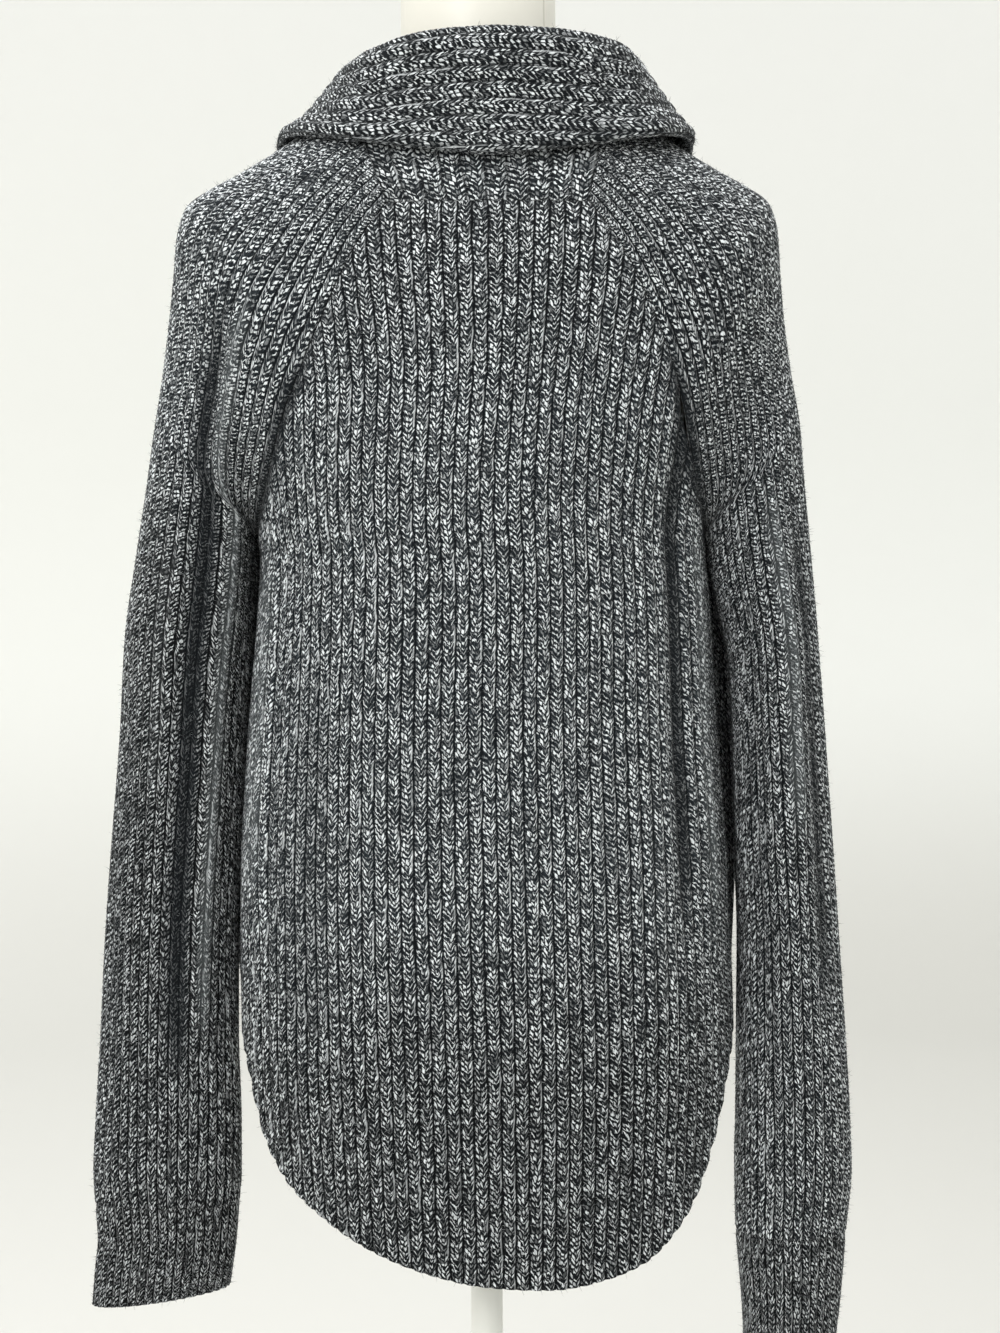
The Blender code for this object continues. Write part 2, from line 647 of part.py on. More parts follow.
def make_front(name, side, material):
    """One front from its side seam to the front edge, and up to the raglan seam."""
    count = RIBS_FRONT * 2 + 1
    share = np.linspace(0.0, 1.0, count)
    rows = FRONT_ROWS
    whole = front_line(ARMPIT_Z, side)[3]
    heights = np.linspace(ARMPIT_Z, YOKE_Z, 240)
    cut = []
    for z in heights:
        length, x, _, stop = front_line(z, side)
        seam = np.interp(-curve(RAGLAN["z"], RAGLAN["half"], z), -x, length)
        cut.append(1.0 - (stop - seam) / whole)
    cut = np.array(cut)
    cut[-1] = 1.0
    share = pin_columns(share, np.interp(SEAM_ROWS[1:-1], heights, cut))
    low_side = hem_height(float(side))
    grid = np.empty((rows, count, 3))
    top = np.interp(share, cut, heights)
    for j, f in enumerate(share):
        low = low_side + (FRONT_HEM_Z - low_side) * float(ease(f * 1.2))
        for i in range(rows):
            z = top[j] + (low - top[j]) * i / (rows - 1)
            length, x, y, stop = front_line(z, side)
            width = whole if z > ARMPIT_Z else stop
            at = max(0.0, stop - (1.0 - f) * width)
            grid[i, j] = (float(ring(z)[1]) + side * np.interp(at, length, x),
                          np.interp(at, length, y), z)
    outward = normals(grid)
    outward *= np.where(np.sum(outward * grid * (1, 1, 0), -1, keepdims=True) < 0, -1.0, 1.0)
    edge = np.minimum(share, 1.0 - share)[None, :] * 150.0 + 0.0 * grid[..., 0]
    fade = edge_fade(edge)
    for j in range(count):
        point, out, into = on_seam(side, True, top[j])
        grid[0, j] = point + into * SEAM_GAP / 2
        outward[0, j] = out
        fade[0, j] = 0.25
    grid[:, 0, 1] = -SEAM_GAP / 2
    outward[1:, 0] = (side, 0.0, 0.0)
    outward[0, 0] = (0.0, 0.0, -1.0)
    outward[1:, -1] = [front_out(side, z) for z in grid[1:, -1, 2]]
    outer, inner = ribbed(grid, outward, np.arange(count)[None, :] / 2.0 + 0.0 * fade, fade)
    picks = every(count, 2)
    wall(name, outer, inner[:, picks], picks, material)
    return grid, outward


def arm_grid(side, runs, count):
    """Sleeve surface with its drape, and its outward directions."""
    share = np.linspace(0.0, 1.0, count)
    grid = sleeve_surface(side, runs, share)
    first = sleeve_surface(side, np.maximum(runs - 1.5, 0.0), share)
    after = sleeve_surface(side, runs + 1.5, share)
    around = np.gradient(grid, axis=1)
    tube = runs >= RUNS[side][0][ARMPIT_STATION] - 1e-6
    seam = grid[tube, 1] - grid[tube, -2]
    around[tube, 0] = seam
    around[tube, -1] = seam
    outward = unit(np.cross(around, after - first)) * side
    folds = FOLDS_LEFT if side > 0 else FOLDS_RIGHT
    grid = grid + outward * drape(folds, share[None, :], grid[..., 2])[..., None]
    grid[tube, -1] = grid[tube, 0]
    outward[tube, -1] = outward[tube, 0]
    return grid, outward, tube


def make_sleeve(name, side, material):
    """Sleeve: open along the raglan seams, a tube from the armpit to the cuff seam."""
    table = RUNS[side][0]
    cuff = table[ARMPIT_STATION + 1 + CUFF_ROW]
    pit = table[ARMPIT_STATION]
    lower = pit + (cuff - pit) * np.array((0.05, 0.12, 0.23, 0.37, 0.52, 0.68, 0.84, 1.0))
    runs = np.concatenate((row_of_seam(SEAM_ROWS), lower))
    runs[len(SEAM_ROWS) - 1] = pit
    count = RIBS_SLEEVE * 2 + 1
    grid, outward, tube = arm_grid(side, runs, count)
    fade = np.ones(grid.shape[:2])
    columns = np.arange(count)
    edge = np.minimum(columns, count - 1 - columns) * 3.7
    near = edge_fade(edge)[None, :]
    fade *= near
    for i, z in enumerate(SEAM_ROWS):
        for j, front in ((0, False), (count - 1, True)):
            point, out, into = [data[i] for data in SEAMS[(side, front)]]
            if z > ARMPIT_Z:
                grid[i, j] = point - into * SEAM_GAP / 2
            else:
                grid[i, j] = point + np.array((side * SEAM_GAP / 2, 0.0, 0.0))
                out = (0.0, 0.0, -1.0)
            outward[i, j] = out
            if 950.0 > z >= ARMPIT_Z:
                for k in range(1, 7):
                    near = abs(j - k)
                    outward[i, near] = unit(outward[i, near] * k / 7 + outward[i, j] * (1 - k / 7))
    wave = neck_angles(side, count)
    point, out, into = neck_frame(side, wave)
    grid[0, 1:-1] = (point - into * SEAM_GAP / 2)[1:-1]
    outward[0, 1:-1] = out[1:-1]
    fade[0] = 0.35
    grid[-1] -= unit(grid[-1] - grid[-2]) * SEAM_GAP / 2
    outer, inner = ribbed(grid, outward, columns[None, :] / 2.0 + 0.0 * fade, fade)
    picks = every(count, 4)
    wall(name, outer, inner[:, picks], picks, material, open_rows=len(SEAM_ROWS) - 1)
    return grid[:len(SEAM_ROWS)], outward[:len(SEAM_ROWS)]


def neck_angles(side, count):
    """Angles of the sleeve's columns along its neck end."""
    share = np.linspace(0.0, 1.0, count)
    fine = np.linspace(0.0, math.pi, 181)
    path = neck_arc(side, fine)
    length = np.concatenate(([0.0], np.cumsum(np.linalg.norm(np.diff(path, axis=0), axis=1))))
    return np.interp(share, length / length[-1], fine)


def make_cuff(name, side, material):
    """Cuff: the ribbed end of the sleeve below its seam."""
    table = RUNS[side][0]
    start = table[ARMPIT_STATION + 1 + CUFF_ROW]
    runs = np.linspace(start, table[-1], 3)
    count = RIBS_SLEEVE * 2 + 1
    grid, outward, _ = arm_grid(side, runs, count)
    grid[0] += unit(grid[1] - grid[0]) * SEAM_GAP / 2
    fade = np.ones(grid.shape[:2])
    columns = np.arange(count)
    fade *= edge_fade(np.minimum(columns, count - 1 - columns) * 3.0)[None, :]
    outer, inner = ribbed(grid, outward, columns[None, :] / 2.0 + 0.0 * fade, fade)
    picks = every(count, 4)
    wall(name, outer, inner[:, picks], picks, material, open_rows=0)


def make_strip(material):
    """Back-neck strip between the back's top seam and the collar."""
    count = RIBS_YOKE * 2 + 1
    share = np.linspace(-1.0, 1.0, count)
    part = np.linspace(1.0, 0.0, 9)
    grid = strip_surface(share, part)
    outward = normals(grid)
    outward *= np.where(outward[..., 1:2] < 0, -1.0, 1.0)
    fade = np.ones(grid.shape[:2]) * 0.9
    for column, side in ((0, -1), (count - 1, 1)):
        heights = YOKE_Z + (NECK_Z - YOKE_Z) * part
        angle = arc_angle(side, heights)
        angle[-1] = 0.0
        point, out, into = neck_frame(side, angle)
        grid[:, column] = point + into * SEAM_GAP / 2
        outward[:, column] = out
        fade[:, column] = 0.3
        top, top_out, _ = on_seam(side, False, YOKE_Z)
        outward[-1, column] = top_out
    grid[-1, :, 2] += SEAM_GAP / 2
    for side in (1, -1):
        column = share * side >= 0.0
        outward[0, column] = strip_rim(side, np.abs(share[column]))
    fade[0] = 0.5
    outer, inner = ribbed(grid, outward, np.arange(count)[None, :] / 2.0 + 0.0 * fade, fade)
    picks = every(count, 2)
    wall("back_neck_strip", outer, inner[:, picks], picks, material)
    return grid, outward


# ------------------------------------------------------------------ collar with its bands
def neckline(side):
    """Edge the collar is sewn to, from the centre back to the front hem: points, outward, landmarks."""
    top = strip_surface(np.linspace(0.0, 1.0, 16) * side, np.array([1.0]))[0]
    start = float(arc_angle(side, NECK_Z))
    angle = np.linspace(start, math.pi, 30)[1:]
    arc, arc_out, arc_off = neck_frame(side, angle)
    z = np.linspace(YOKE_Z, FRONT_HEM_Z, FRONT_ROWS)[1:]
    edge = np.array([front_point(side, 1.0, height) for height in z])
    edge_out = np.array([front_out(side, height) for height in z])
    edge_off = np.array([front_off(side, height) for height in z])
    share = np.linspace(0.0, 1.0, 16)
    strip_out = strip_rim(side, share)
    strip_off = unit(np.array((0.0, -0.39, 0.92)) * (1 - share[:, None] ** 2)
                     + arc_off[0] * share[:, None] ** 2)
    points = np.concatenate((top, arc, edge))
    arc_out[-1] = on_seam(side, True, YOKE_Z)[1]
    arc_off[-1] = unit(arc_off[-1] + edge_off[0])
    out = np.concatenate((strip_out, arc_out, edge_out))
    off = np.concatenate((strip_off, arc_off, edge_off))
    length = np.concatenate(([0.0], np.cumsum(np.linalg.norm(np.diff(points, axis=0), axis=1))))
    marks = (0.0, np.interp(0.55, np.linspace(0, 1, 16), length[:16]), length[15],
             np.interp(math.pi / 2, np.concatenate(([start], angle)), length[15:45]),
             np.interp(2.45, np.concatenate(([start], angle)), length[15:45]), length[44])
    return points, out, off, length, marks


def strip_rim(side, share):
    """Outward direction along the top of the back-neck strip, share 0 centre back, 1 its end."""
    start = arc_angle(side, NECK_Z)
    _, end, _ = neck_frame(side, np.array([start]))
    share = np.asarray(share, float)[:, None]
    middle = np.array((0.0, 0.92, 0.39))
    return unit(middle * (1 - share ** 2) + end * share ** 2)


def front_out(side, z):
    """Outward direction at the front edge."""
    across = front_point(side, 1.0, z) - front_point(side, 0.98, z)
    out = unit(np.cross(across, np.array((0.0, 0.0, 1.0))))
    return out if out[1] < 0.0 else -out


def front_off(side, z):
    """Direction off the front edge towards the centre."""
    return unit(front_point(side, 1.0, z) - front_point(side, 0.98, z))


def front_point(side, share, z):
    """Point of a front: share 0 at the side seam, 1 at the front edge."""
    length, x, y, stop = front_line(z, side)
    across = float(ring(z)[1]) + side * np.interp(share * stop, length, x)
    return np.array((across, np.interp(share * stop, length, y), z))


def collar_grid(side, stations, spacing, before, samples):
    """Collar cloth of one half: rows at stations, columns at equal steps to each side of its fold."""
    points, out, off, length, marks = neckline(side)
    knots = np.concatenate((marks, length[45:]))
    sew_at = np.interp(stations, np.arange(len(knots)), knots)
    grid = np.empty((len(stations), samples, 3))
    at = np.empty((len(stations), samples))
    tips = np.empty(len(stations))
    sewn_out = np.empty((len(stations), 3))
    sewn_off = np.empty((len(stations), 3))
    for i, station in enumerate(stations):
        sew = np.array([np.interp(sew_at[i], length, points[:, k]) for k in range(3)])
        sewn_out[i] = unit(np.array([np.interp(sew_at[i], length, out[:, k]) for k in range(3)]))
        sewn_off[i] = unit(np.array([np.interp(sew_at[i], length, off[:, k]) for k in range(3)]))
        root = sew - sewn_out[i] * WALL + sewn_off[i] * COLLAR_GAP
        flat = flat_edge(side, sew) - sewn_out[i] * WALL
        fold, lip, edge = collar_lines(side, station)
        lay = float(ease((station - BREAK_FROM) / BREAK_LONG))
        rise = unit(fold - sew)
        outside = unit(sewn_out[i] - rise * float(np.dot(sewn_out[i], rise)))
        tall = FOLD_ROUND * (1 - lay)
        foot = sew + sewn_off[i] * (WALL + 1.8) + rise * 7.0
        foot = foot * (1 - lay) + (root * 0.88 + flat * 0.12) * lay
        top = fold * (1 - lay) + (flat * 0.94 + root * 0.06) * lay
        lip = top + (lip - fold) * (1 - lay) + (flat - top) * lay * 0.5
        edge = top + (edge - fold) * (1 - lay) + (flat - top) * lay
        turn = BREAK_RISE * math.sin(math.pi * lay) * sewn_out[i]
        lip = lip + turn
        edge = edge + turn
        path = [edge, lip, top + outside * tall, top - outside * tall * 0.4, foot, root]
        run, soft, tips[i] = soft_line(np.array(path), top, 5.0 * (1 - lay) + 1.0)
        place = tips[i] + (np.arange(samples) - before) * spacing
        place[place < 0.3 * spacing] = 0.0
        place[place > run[-1] - 0.3 * spacing] = run[-1]
        at[i] = place
        grid[i] = join(*[np.interp(place, run, soft[:, k]) for k in range(3)])
    return grid, at, sewn_out, tips


def collar_lines(side, station):
    """Fold, crease of the fall and free edge of the collar at a station."""
    lines = []
    last = len(COLLAR["fold_x"]) - 1
    for key in ("fold", "lip", "edge"):
        x, y, z = [float(curve(np.arange(last + 1), COLLAR[key + "_" + axis], min(station, last)))
                   for axis in "xyz"]
        lines.append(np.array((side * x, y, z)))
    slip = float(ease((4.6 - station) / 2.6))
    for line in lines:
        line[0] -= COLLAR_SHIFT * slip
    if side < 0:
        lines[0][0] -= FOLD_LEAN * slip
        lines[1][0] -= FOLD_LEAN * slip
        lines[2][0] -= EDGE_LEAN * slip
    else:
        lines[0][2] -= FOLD_DROP * float(ease((station - 0.6) / 1.8) * ease((4.6 - station) / 1.4))
    return lines


def flat_edge(side, sew):
    """Free edge of the flat band beside a point of the front edge."""
    half, shift, _, ahead = [float(v) for v in ring(sew[2])]
    x = shift + side * BAND_EDGE_X
    y = -ahead * math.sqrt(1.0 - (BAND_EDGE_X / half) ** 2)
    return np.array((x, y, sew[2]))


def soft_line(path, top, round_by):
    """Rounded line through a few points: lengths along it, its points, where it passes the top."""
    step = np.linalg.norm(np.diff(path, axis=0), axis=1)
    run = np.concatenate(([0.0], np.cumsum(step)))
    fine = np.linspace(0.0, run[-1], 241)
    line = join(*[np.interp(fine, run, path[:, k]) for k in range(3)])
    reach = max(1, int(round_by / fine[1]))
    soft = line.copy()
    for _ in range(3):
        padded = np.concatenate((2 * soft[0] - soft[reach:0:-1], soft,
                                 2 * soft[-1] - soft[-2:-reach - 2:-1]))
        total = np.cumsum(np.concatenate((np.zeros((1, 3)), padded)), axis=0)
        soft = (total[2 * reach + 1:] - total[:-2 * reach - 1]) / (2 * reach + 1)
    soft[0] = line[0]
    soft[-1] = line[-1]
    step = np.linalg.norm(np.diff(soft, axis=0), axis=1)
    run = np.concatenate(([0.0], np.cumsum(step)))
    return run, soft, run[int(np.argmin(np.linalg.norm(soft - top, axis=1)))]


def collar_surface(stations, spacing, before, samples, under):
    """Whole collar, right hem to left hem: points, outward directions, lengths along the rows."""
    halves = {side: collar_grid(side, stations, spacing, before, samples) for side in (1, -1)}
    middle = collar_grid(1, np.array([0.0]), spacing, before, samples)
    grid, at, sewn, tips = [np.concatenate((halves[-1][k][::-1], middle[k], halves[1][k]))
                            for k in range(4)]
    station = np.concatenate((stations[::-1], (0.0,), stations))
    grid = lift_clear(grid, station, at, under)
    down = along_collar(grid, at)
    outward = np.empty_like(grid)
    for i in range(len(grid)):
        first = int(np.sum(at[i] <= 0.0)) - 1
        stop = int(np.argmax(at[i] >= at[i, -1]))
        across = np.zeros_like(grid[i])
        across[first + 1:stop] = grid[i, first + 2:stop + 1] - grid[i, first:stop - 1]
        across[:first + 1] = grid[i, first + 1] - grid[i, first]
        across[stop:] = grid[i, stop] - grid[i, stop - 1]
        outward[i] = unit(np.cross(across, down[i]))
        outward[i, stop:] = -sewn[i]
    return grid, outward, at, tips


def collar_inside(grid, outward, at, tips):
    """Plain side of the collar: its columns follow the fold, seven on the fall, five below it."""
    inside = np.empty((len(grid), 12, 3))
    for i, tip in enumerate(tips):
        stop = int(np.argmax(at[i] >= at[i, -1])) + 1
        fall = np.linspace(0.0, max(tip - 11.0, 0.0), 7)
        stand = np.linspace(tip + 6.0, at[i, -1], 5)
        where = np.concatenate((fall, stand))
        place = join(*[np.interp(where, at[i, :stop], grid[i, :stop, k]) for k in range(3)])
        out = join(*[np.interp(where, at[i, :stop], outward[i, :stop, k]) for k in range(3)])
        inside[i] = place - unit(out) * WALL
    picks = [int(np.argmin(np.abs(at[0] - w))) for w in where]
    return inside, [0] + picks[1:-1] + [grid.shape[1] - 1]


def along_collar(grid, at):
    """Direction along the collar at every point, from four lines that follow it."""
    shares = (0.0, 0.35, 0.68, 1.0)
    lines = []
    for share in shares:
        line = [[np.interp(share * at[i, -1], at[i], grid[i, :, k]) for k in range(3)]
                for i in range(len(grid))]
        lines.append(unit(np.gradient(np.array(line), axis=0)))
    lines = np.array(lines)
    down = np.empty_like(grid)
    for i in range(len(grid)):
        where = at[i] / at[i, -1]
        down[i] = join(*[np.interp(where, shares, lines[:, i, k]) for k in range(3)])
    return down


def lift_clear(grid, station, at, under):
    """Lift the fall of the collar clear of the cloth it lies on."""
    for i in range(len(grid)):
        fall = FALL_SHARE * at[i, -1]
        lift = LIFT + FRONT_LIFT * float(ease((station[i] - 3.6) / 1.4))
        for j in range(grid.shape[1]):
            if at[i, j] > fall:
                continue
            for _ in range(2):
                place, normal, _, _ = under.find_nearest(Vector(grid[i, j]))
                normal = np.array(normal)
                gap = grid[i, j] - np.array(place)
                away = float(np.dot(gap, normal))
                beside = float(np.linalg.norm(gap - away * normal))
                if -25.0 < away < lift and beside < 4.0:
                    share = float(ease((fall - at[i, j]) / 12.0))
                    grid[i, j] += normal * (lift - away) * share
    return grid


def cloth_tree(grids):
    """Search tree over the surfaces the collar lies on, their sides turned outward."""
    points = []
    faces = []
    for grid, outward in grids:
        base = len(points)
        rows, cols = grid.shape[:2]
        points.extend(Vector(p) for p in grid.reshape(-1, 3))
        mid = (rows // 2, cols // 2)
        u = grid[mid[0], mid[1] + 1] - grid[mid]
        v = grid[mid[0] + 1, mid[1]] - grid[mid]
        flip = float(np.dot(np.cross(u, v), outward[mid])) < 0.0
        for i in range(rows - 1):
            for j in range(cols - 1):
                loop = [base + i * cols + j, base + i * cols + j + 1,
                        base + (i + 1) * cols + j + 1, base + (i + 1) * cols + j]
                faces.append(loop[::-1] if flip else loop)
    return BVHTree.FromPolygons(points, faces)


def make_collar(material, under):
    """Collar and bands in one strip, from one front hem round the neck to the other."""
    grid, outward, at, tips = collar_surface(np.array(COLLAR_STATIONS), RIB_COLLAR / 2, FALL_COLUMNS,
                                             FALL_COLUMNS + 15, under)
    columns = np.arange(grid.shape[1])
    fade = edge_fade(np.minimum(at[:, -1:] - at, at + 6.0)) * (at < at[:, -1:]) * (at > 0.0)
    outer = ribbed(grid, outward, (columns - FALL_COLUMNS) / 2.0 + 0.0 * fade, fade)[0]
    inside, picks = collar_inside(grid, outward, at, tips)
    wall("collar", outer, inside, picks, material)


# ------------------------------------------------------------------ dress form and stand
FORM = {
    "z":     (640, 665, 700, 740, 780, 820, 860, 900, 940, 980, 1010, 1046, 1088, 1120, 1147,
              1160, 1171, 1184, 1200, 1212, 1226, 1242, 1262, 1318, 1322),
    "half":  (142, 145, 143, 134, 122, 116, 118, 126, 134, 141, 147, 160, 174, 179, 177.5,
              171, 161.5, 141.5, 118.1, 99.2, 70, 57, 52.3, 52.3, 49),
    "back":  (97, 100, 97, 90, 82, 80, 86, 96, 104, 109, 110, 109, 104, 96, 88,
              85, 82, 78, 70, 64, 58, 54, 52.5, 52.5, 49),
    "front": (90, 92, 90, 86, 84, 86, 95, 108, 122, 127, 124, 114, 98, 86, 76,
              74, 72, 69, 63, 58, 53, 51, 51, 51, 48),
}
FORM_COLUMNS = 28


def make_form(material):
    """Limbless torso with a plain neck, as one closed loft."""
    heights = np.array(FORM["z"], float)
    angle = np.arange(FORM_COLUMNS) * 2 * math.pi / FORM_COLUMNS
    points = []
    for k, z in enumerate(heights):
        deep = np.where(np.sin(angle) > 0, FORM["back"][k], FORM["front"][k])
        points.append(join(FORM["half"][k] * np.cos(angle), deep * np.sin(angle), z + 0.0 * angle))
    rows = len(points)
    count = FORM_COLUMNS
    faces = [list(range(count))[::-1], [(rows - 1) * count + j for j in range(count)]]
    for i in range(rows - 1):
        for j in range(count):
            k = (j + 1) % count
            faces.append((i * count + j, i * count + k, (i + 1) * count + k, (i + 1) * count + j))
    return add_mesh("dress_form", np.concatenate(points), faces, material)


def make_round(name, radius, low, high, bevel, sides, material):
    """Upright round bar or plate with its rims eased."""
    work = bmesh.new()
    bmesh.ops.create_cone(work, cap_ends=True, segments=sides, radius1=radius * MM,
                          radius2=radius * MM, depth=(high - low) * MM)
    mesh = bpy.data.meshes.new(name)
    work.to_mesh(mesh)
    work.free()
    mesh.materials.append(material)
    thing = bpy.data.objects.new(name, mesh)
    thing.location = (0.0, 0.0, (low + high) / 2 * MM)
    COLLECTION.objects.link(thing)
    if bevel > 0.0:
        rim = thing.modifiers.new("rim", "BEVEL")
        rim.width = bevel * MM
        rim.segments = 1
        rim.limit_method = "ANGLE"
        rim.angle_limit = math.radians(50.0)
    return thing


# ------------------------------------------------------------------ build
def principled(name, colour, roughness, metallic=0.0):
    """Plain material."""
    material = bpy.data.materials.new(name)
    material.use_nodes = True
    shader = material.node_tree.nodes["Principled BSDF"]
    shader.inputs["Base Color"].default_value = colour
    shader.inputs["Roughness"].default_value = roughness
    shader.inputs["Metallic"].default_value = metallic
    return material


COLLECTION = bpy.data.collections.new("shawl_collar_cardigan")


def main():
    clear_scene()
    bpy.context.scene.collection.children.link(COLLECTION)
    knit = {name: principled(name + "_knit", KNIT, 0.9) for name in
            ("back", "front_left", "front_right", "sleeve_left", "sleeve_right",
             "cuff_left", "cuff_right", "back_neck_strip", "collar")}
    laid = [make_back(knit["back"]),
            make_front("front_left", 1, knit["front_left"]),
            make_front("front_right", -1, knit["front_right"]),
            make_sleeve("sleeve_left", 1, knit["sleeve_left"]),
            make_sleeve("sleeve_right", -1, knit["sleeve_right"]),
            make_strip(knit["back_neck_strip"])]
    make_cuff("cuff_left", 1, knit["cuff_left"])
    make_cuff("cuff_right", -1, knit["cuff_right"])
    make_collar(knit["collar"], cloth_tree(laid))
    make_form(principled("form_cover", CREAM, 0.55))
    painted = principled("stand_paint", WHITE, 0.35)
    make_round("stand_pole", POLE_R, STAND_BASE_H + 0.3, FORM_FLOOR_Z - 0.3, 0.0, 32, painted)
    plate = principled("base_paint", WHITE, 0.4)
    make_round("stand_base", STAND_BASE_R, 0.0, STAND_BASE_H, 2.5, 44, plate)


main()
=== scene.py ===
# %% [markdown]
# # A shawl collar cardigan on its form, as a lesson in modelling rib knit
#
# The garment is a raglan cardigan in a thick one-by-one rib, knitted from a marled yarn: one
# near-black ply twisted with one off-white ply. Each cell below makes one piece or one finish.
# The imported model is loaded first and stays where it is. Every piece here lies on the surface
# that its own solid was made from, so nothing has to be fitted by eye.

# %% The frame
import math

import bpy
import numpy as np
from mathutils import Matrix, Vector
from mathutils.bvhtree import BVHTree


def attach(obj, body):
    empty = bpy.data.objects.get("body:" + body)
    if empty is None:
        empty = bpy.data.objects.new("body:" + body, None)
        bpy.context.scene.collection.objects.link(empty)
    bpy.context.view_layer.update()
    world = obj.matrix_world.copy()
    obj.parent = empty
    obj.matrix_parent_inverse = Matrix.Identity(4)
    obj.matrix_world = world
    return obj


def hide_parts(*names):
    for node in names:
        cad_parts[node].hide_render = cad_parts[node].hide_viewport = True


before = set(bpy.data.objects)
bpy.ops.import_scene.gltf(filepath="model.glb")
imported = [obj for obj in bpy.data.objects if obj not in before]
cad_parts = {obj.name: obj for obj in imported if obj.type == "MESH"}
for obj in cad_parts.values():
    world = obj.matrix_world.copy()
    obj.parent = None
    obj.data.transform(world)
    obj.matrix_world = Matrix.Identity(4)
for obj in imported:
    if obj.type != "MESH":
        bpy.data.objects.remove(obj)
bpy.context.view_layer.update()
MM = 0.001
print("frame loaded:", len(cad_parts), "nodes")

# %% [markdown]
# ## The sizes
# A knitted garment is drafted as a few widths and depths at chosen heights, and the tables here
# are that draft, in millimetres: rings round the body, the raglan line, the rows of each sleeve,
# and three lines that the collar follows. They are the sizes that the solids were made from.

# %% Sizes of the body, sleeves and collar
WALL = 2.6                # cloth between the ribs
ARMPIT_Z = 940.0
YOKE_Z = 1147.0           # seam under the back-neck strip
NECK_Z = 1212.0
FRONT_HEM_Z = 600.0
BAND_X = 84.0             # front edge of a front panel
BAND_EDGE_X = 31.0        # free edge of its band
SEAM_GAP = 0.3
RIBS_HALF_BACK = 25
RIBS_FRONT = 16
RIBS_SLEEVE = 38
RIBS_YOKE = 10
RIB_COLLAR = 10.6

BODY = {
    "z":     (440, 520, 600, 700, 800, 900, 925, 940, 956, 982, 1013, 1042, 1088, 1122, 1147),
    "half":  (154, 160, 164, 162.5, 156.5, 149.5, 148, 150, 154, 165, 178, 185, 187, 188, 188),
    "shift": (-3, -2.5, -2, -0.5, 0, -1.5, -1, 0, 0, -1, -3, -5, -6, -6, -6),
    "back":  (106, 110, 113, 116, 118, 121, 122, 122, 122, 122, 121, 119.5, 113, 105, 97),
    "front": (112, 116, 121, 127, 132, 138, 139, 139, 139, 137, 134, 127, 113, 99, 86),
    "flare": (0, 0, 14, 34, 40, 31, 11, 0, 0, 0, 0, 0, 0, 0, 0),
    "right": (0, 0, 12, 29, 37, 34, 12, 0, 0, 0, 0, 0, 0, 0, 0),
}
FLARE_END = 1.15          # angle from the side seam where the fronts' flare has died out
RAGLAN = {
    "z":    (940, 956, 982, 1013, 1042, 1088, 1122, 1147),
    "half": (150, 144, 137, 129, 119, 100, 83, 65),
}
STRIP = {
    "z":    (1147, 1165, 1185, 1200, 1212),
    "back": (97, 91.5, 84, 77, 70.5),
}
SHOULDER = {
    "out":  (86, 112, 136, 160, 182, 196, 202, 204.5, 208, 212.5, 218),
    "right": (86, 112, 136, 159, 180, 193.5, 199, 200.5, 203, 207.5, 213),
    "z":    (1224, 1210.5, 1194.5, 1180.5, 1169, 1158.5, 1139, 1112, 1080, 1045, 1010),
    "seam": (1147, 1134, 1117, 1094, 1068, 1046, 1022, 998, 976, 957, 940),
    "deep": (0, 0, 0, 0, 0, 0, 0, 0, 2, 13, 58),
}
ARM = {
    1: {
        "out":  (223.5, 231.5, 239, 243.5, 249.5, 254.5, 258.5, 262, 263.5, 262.5, 261, 263, 265),
        "z":    (972, 922, 872, 803, 735, 672, 600, 545, 510, 490, 465, 445, 421),
        "in":   (150.9, 153, 156.5, 161.5, 165, 167.5, 168, 166.5, 166.5, 168, 170, 172.5, 174.5),
        "in_z": (919, 888, 850, 789, 728, 668, 600, 545, 510, 490, 465, 447, 434),
        "deep": (57, 55, 50, 45, 42, 40, 37, 34, 32, 28, 25, 25, 26),
        "y":    (0, 0, 0, -1, -3, -4, -4, -4, -3, -3, -3, -3, -3),
    },
    -1: {
        "out":  (215.5, 219.5, 223.5, 227, 231.5, 235.5, 240.5, 244, 245, 241, 239, 236.5, 233.6),
        "z":    (975, 925, 872, 799, 732, 672, 600, 545, 512, 470, 445, 420, 397),
        "in":   (153.2, 159.5, 167, 169, 170.5, 172.5, 171.5, 170.5, 169.5, 170, 172, 174, 175),
        "in_z": (919, 888, 850, 795, 730, 672, 600, 545, 512, 470, 443, 417, 395),
        "deep": (57, 58, 59, 58, 56, 53, 49, 46, 44, 41, 39, 38, 38),
        "y":    (0, 1, 2, 3, 2, 0, -2, -2, -2, -2, -2, -2, -2),
    },
}
CUFF_ROW = 9              # row of a sleeve, counted on from the armpit, where its cuff is sewn on
FRONT_EDGE = {
    "z":    (600, 1000, 1080, 1122, 1147),
    "half": (BAND_X, BAND_X, 78, 72, 65),
}
TAIL = {
    "x": (-170, -162, -150, -137, -122, -103, -80, -45, 0, 30, 56, 83, 101, 125, 142, 156, 165),
    "z": (640, 590, 540, 505, 483, 467, 459, 454, 457, 463, 471, 483, 494, 513, 538, 586, 622),
}
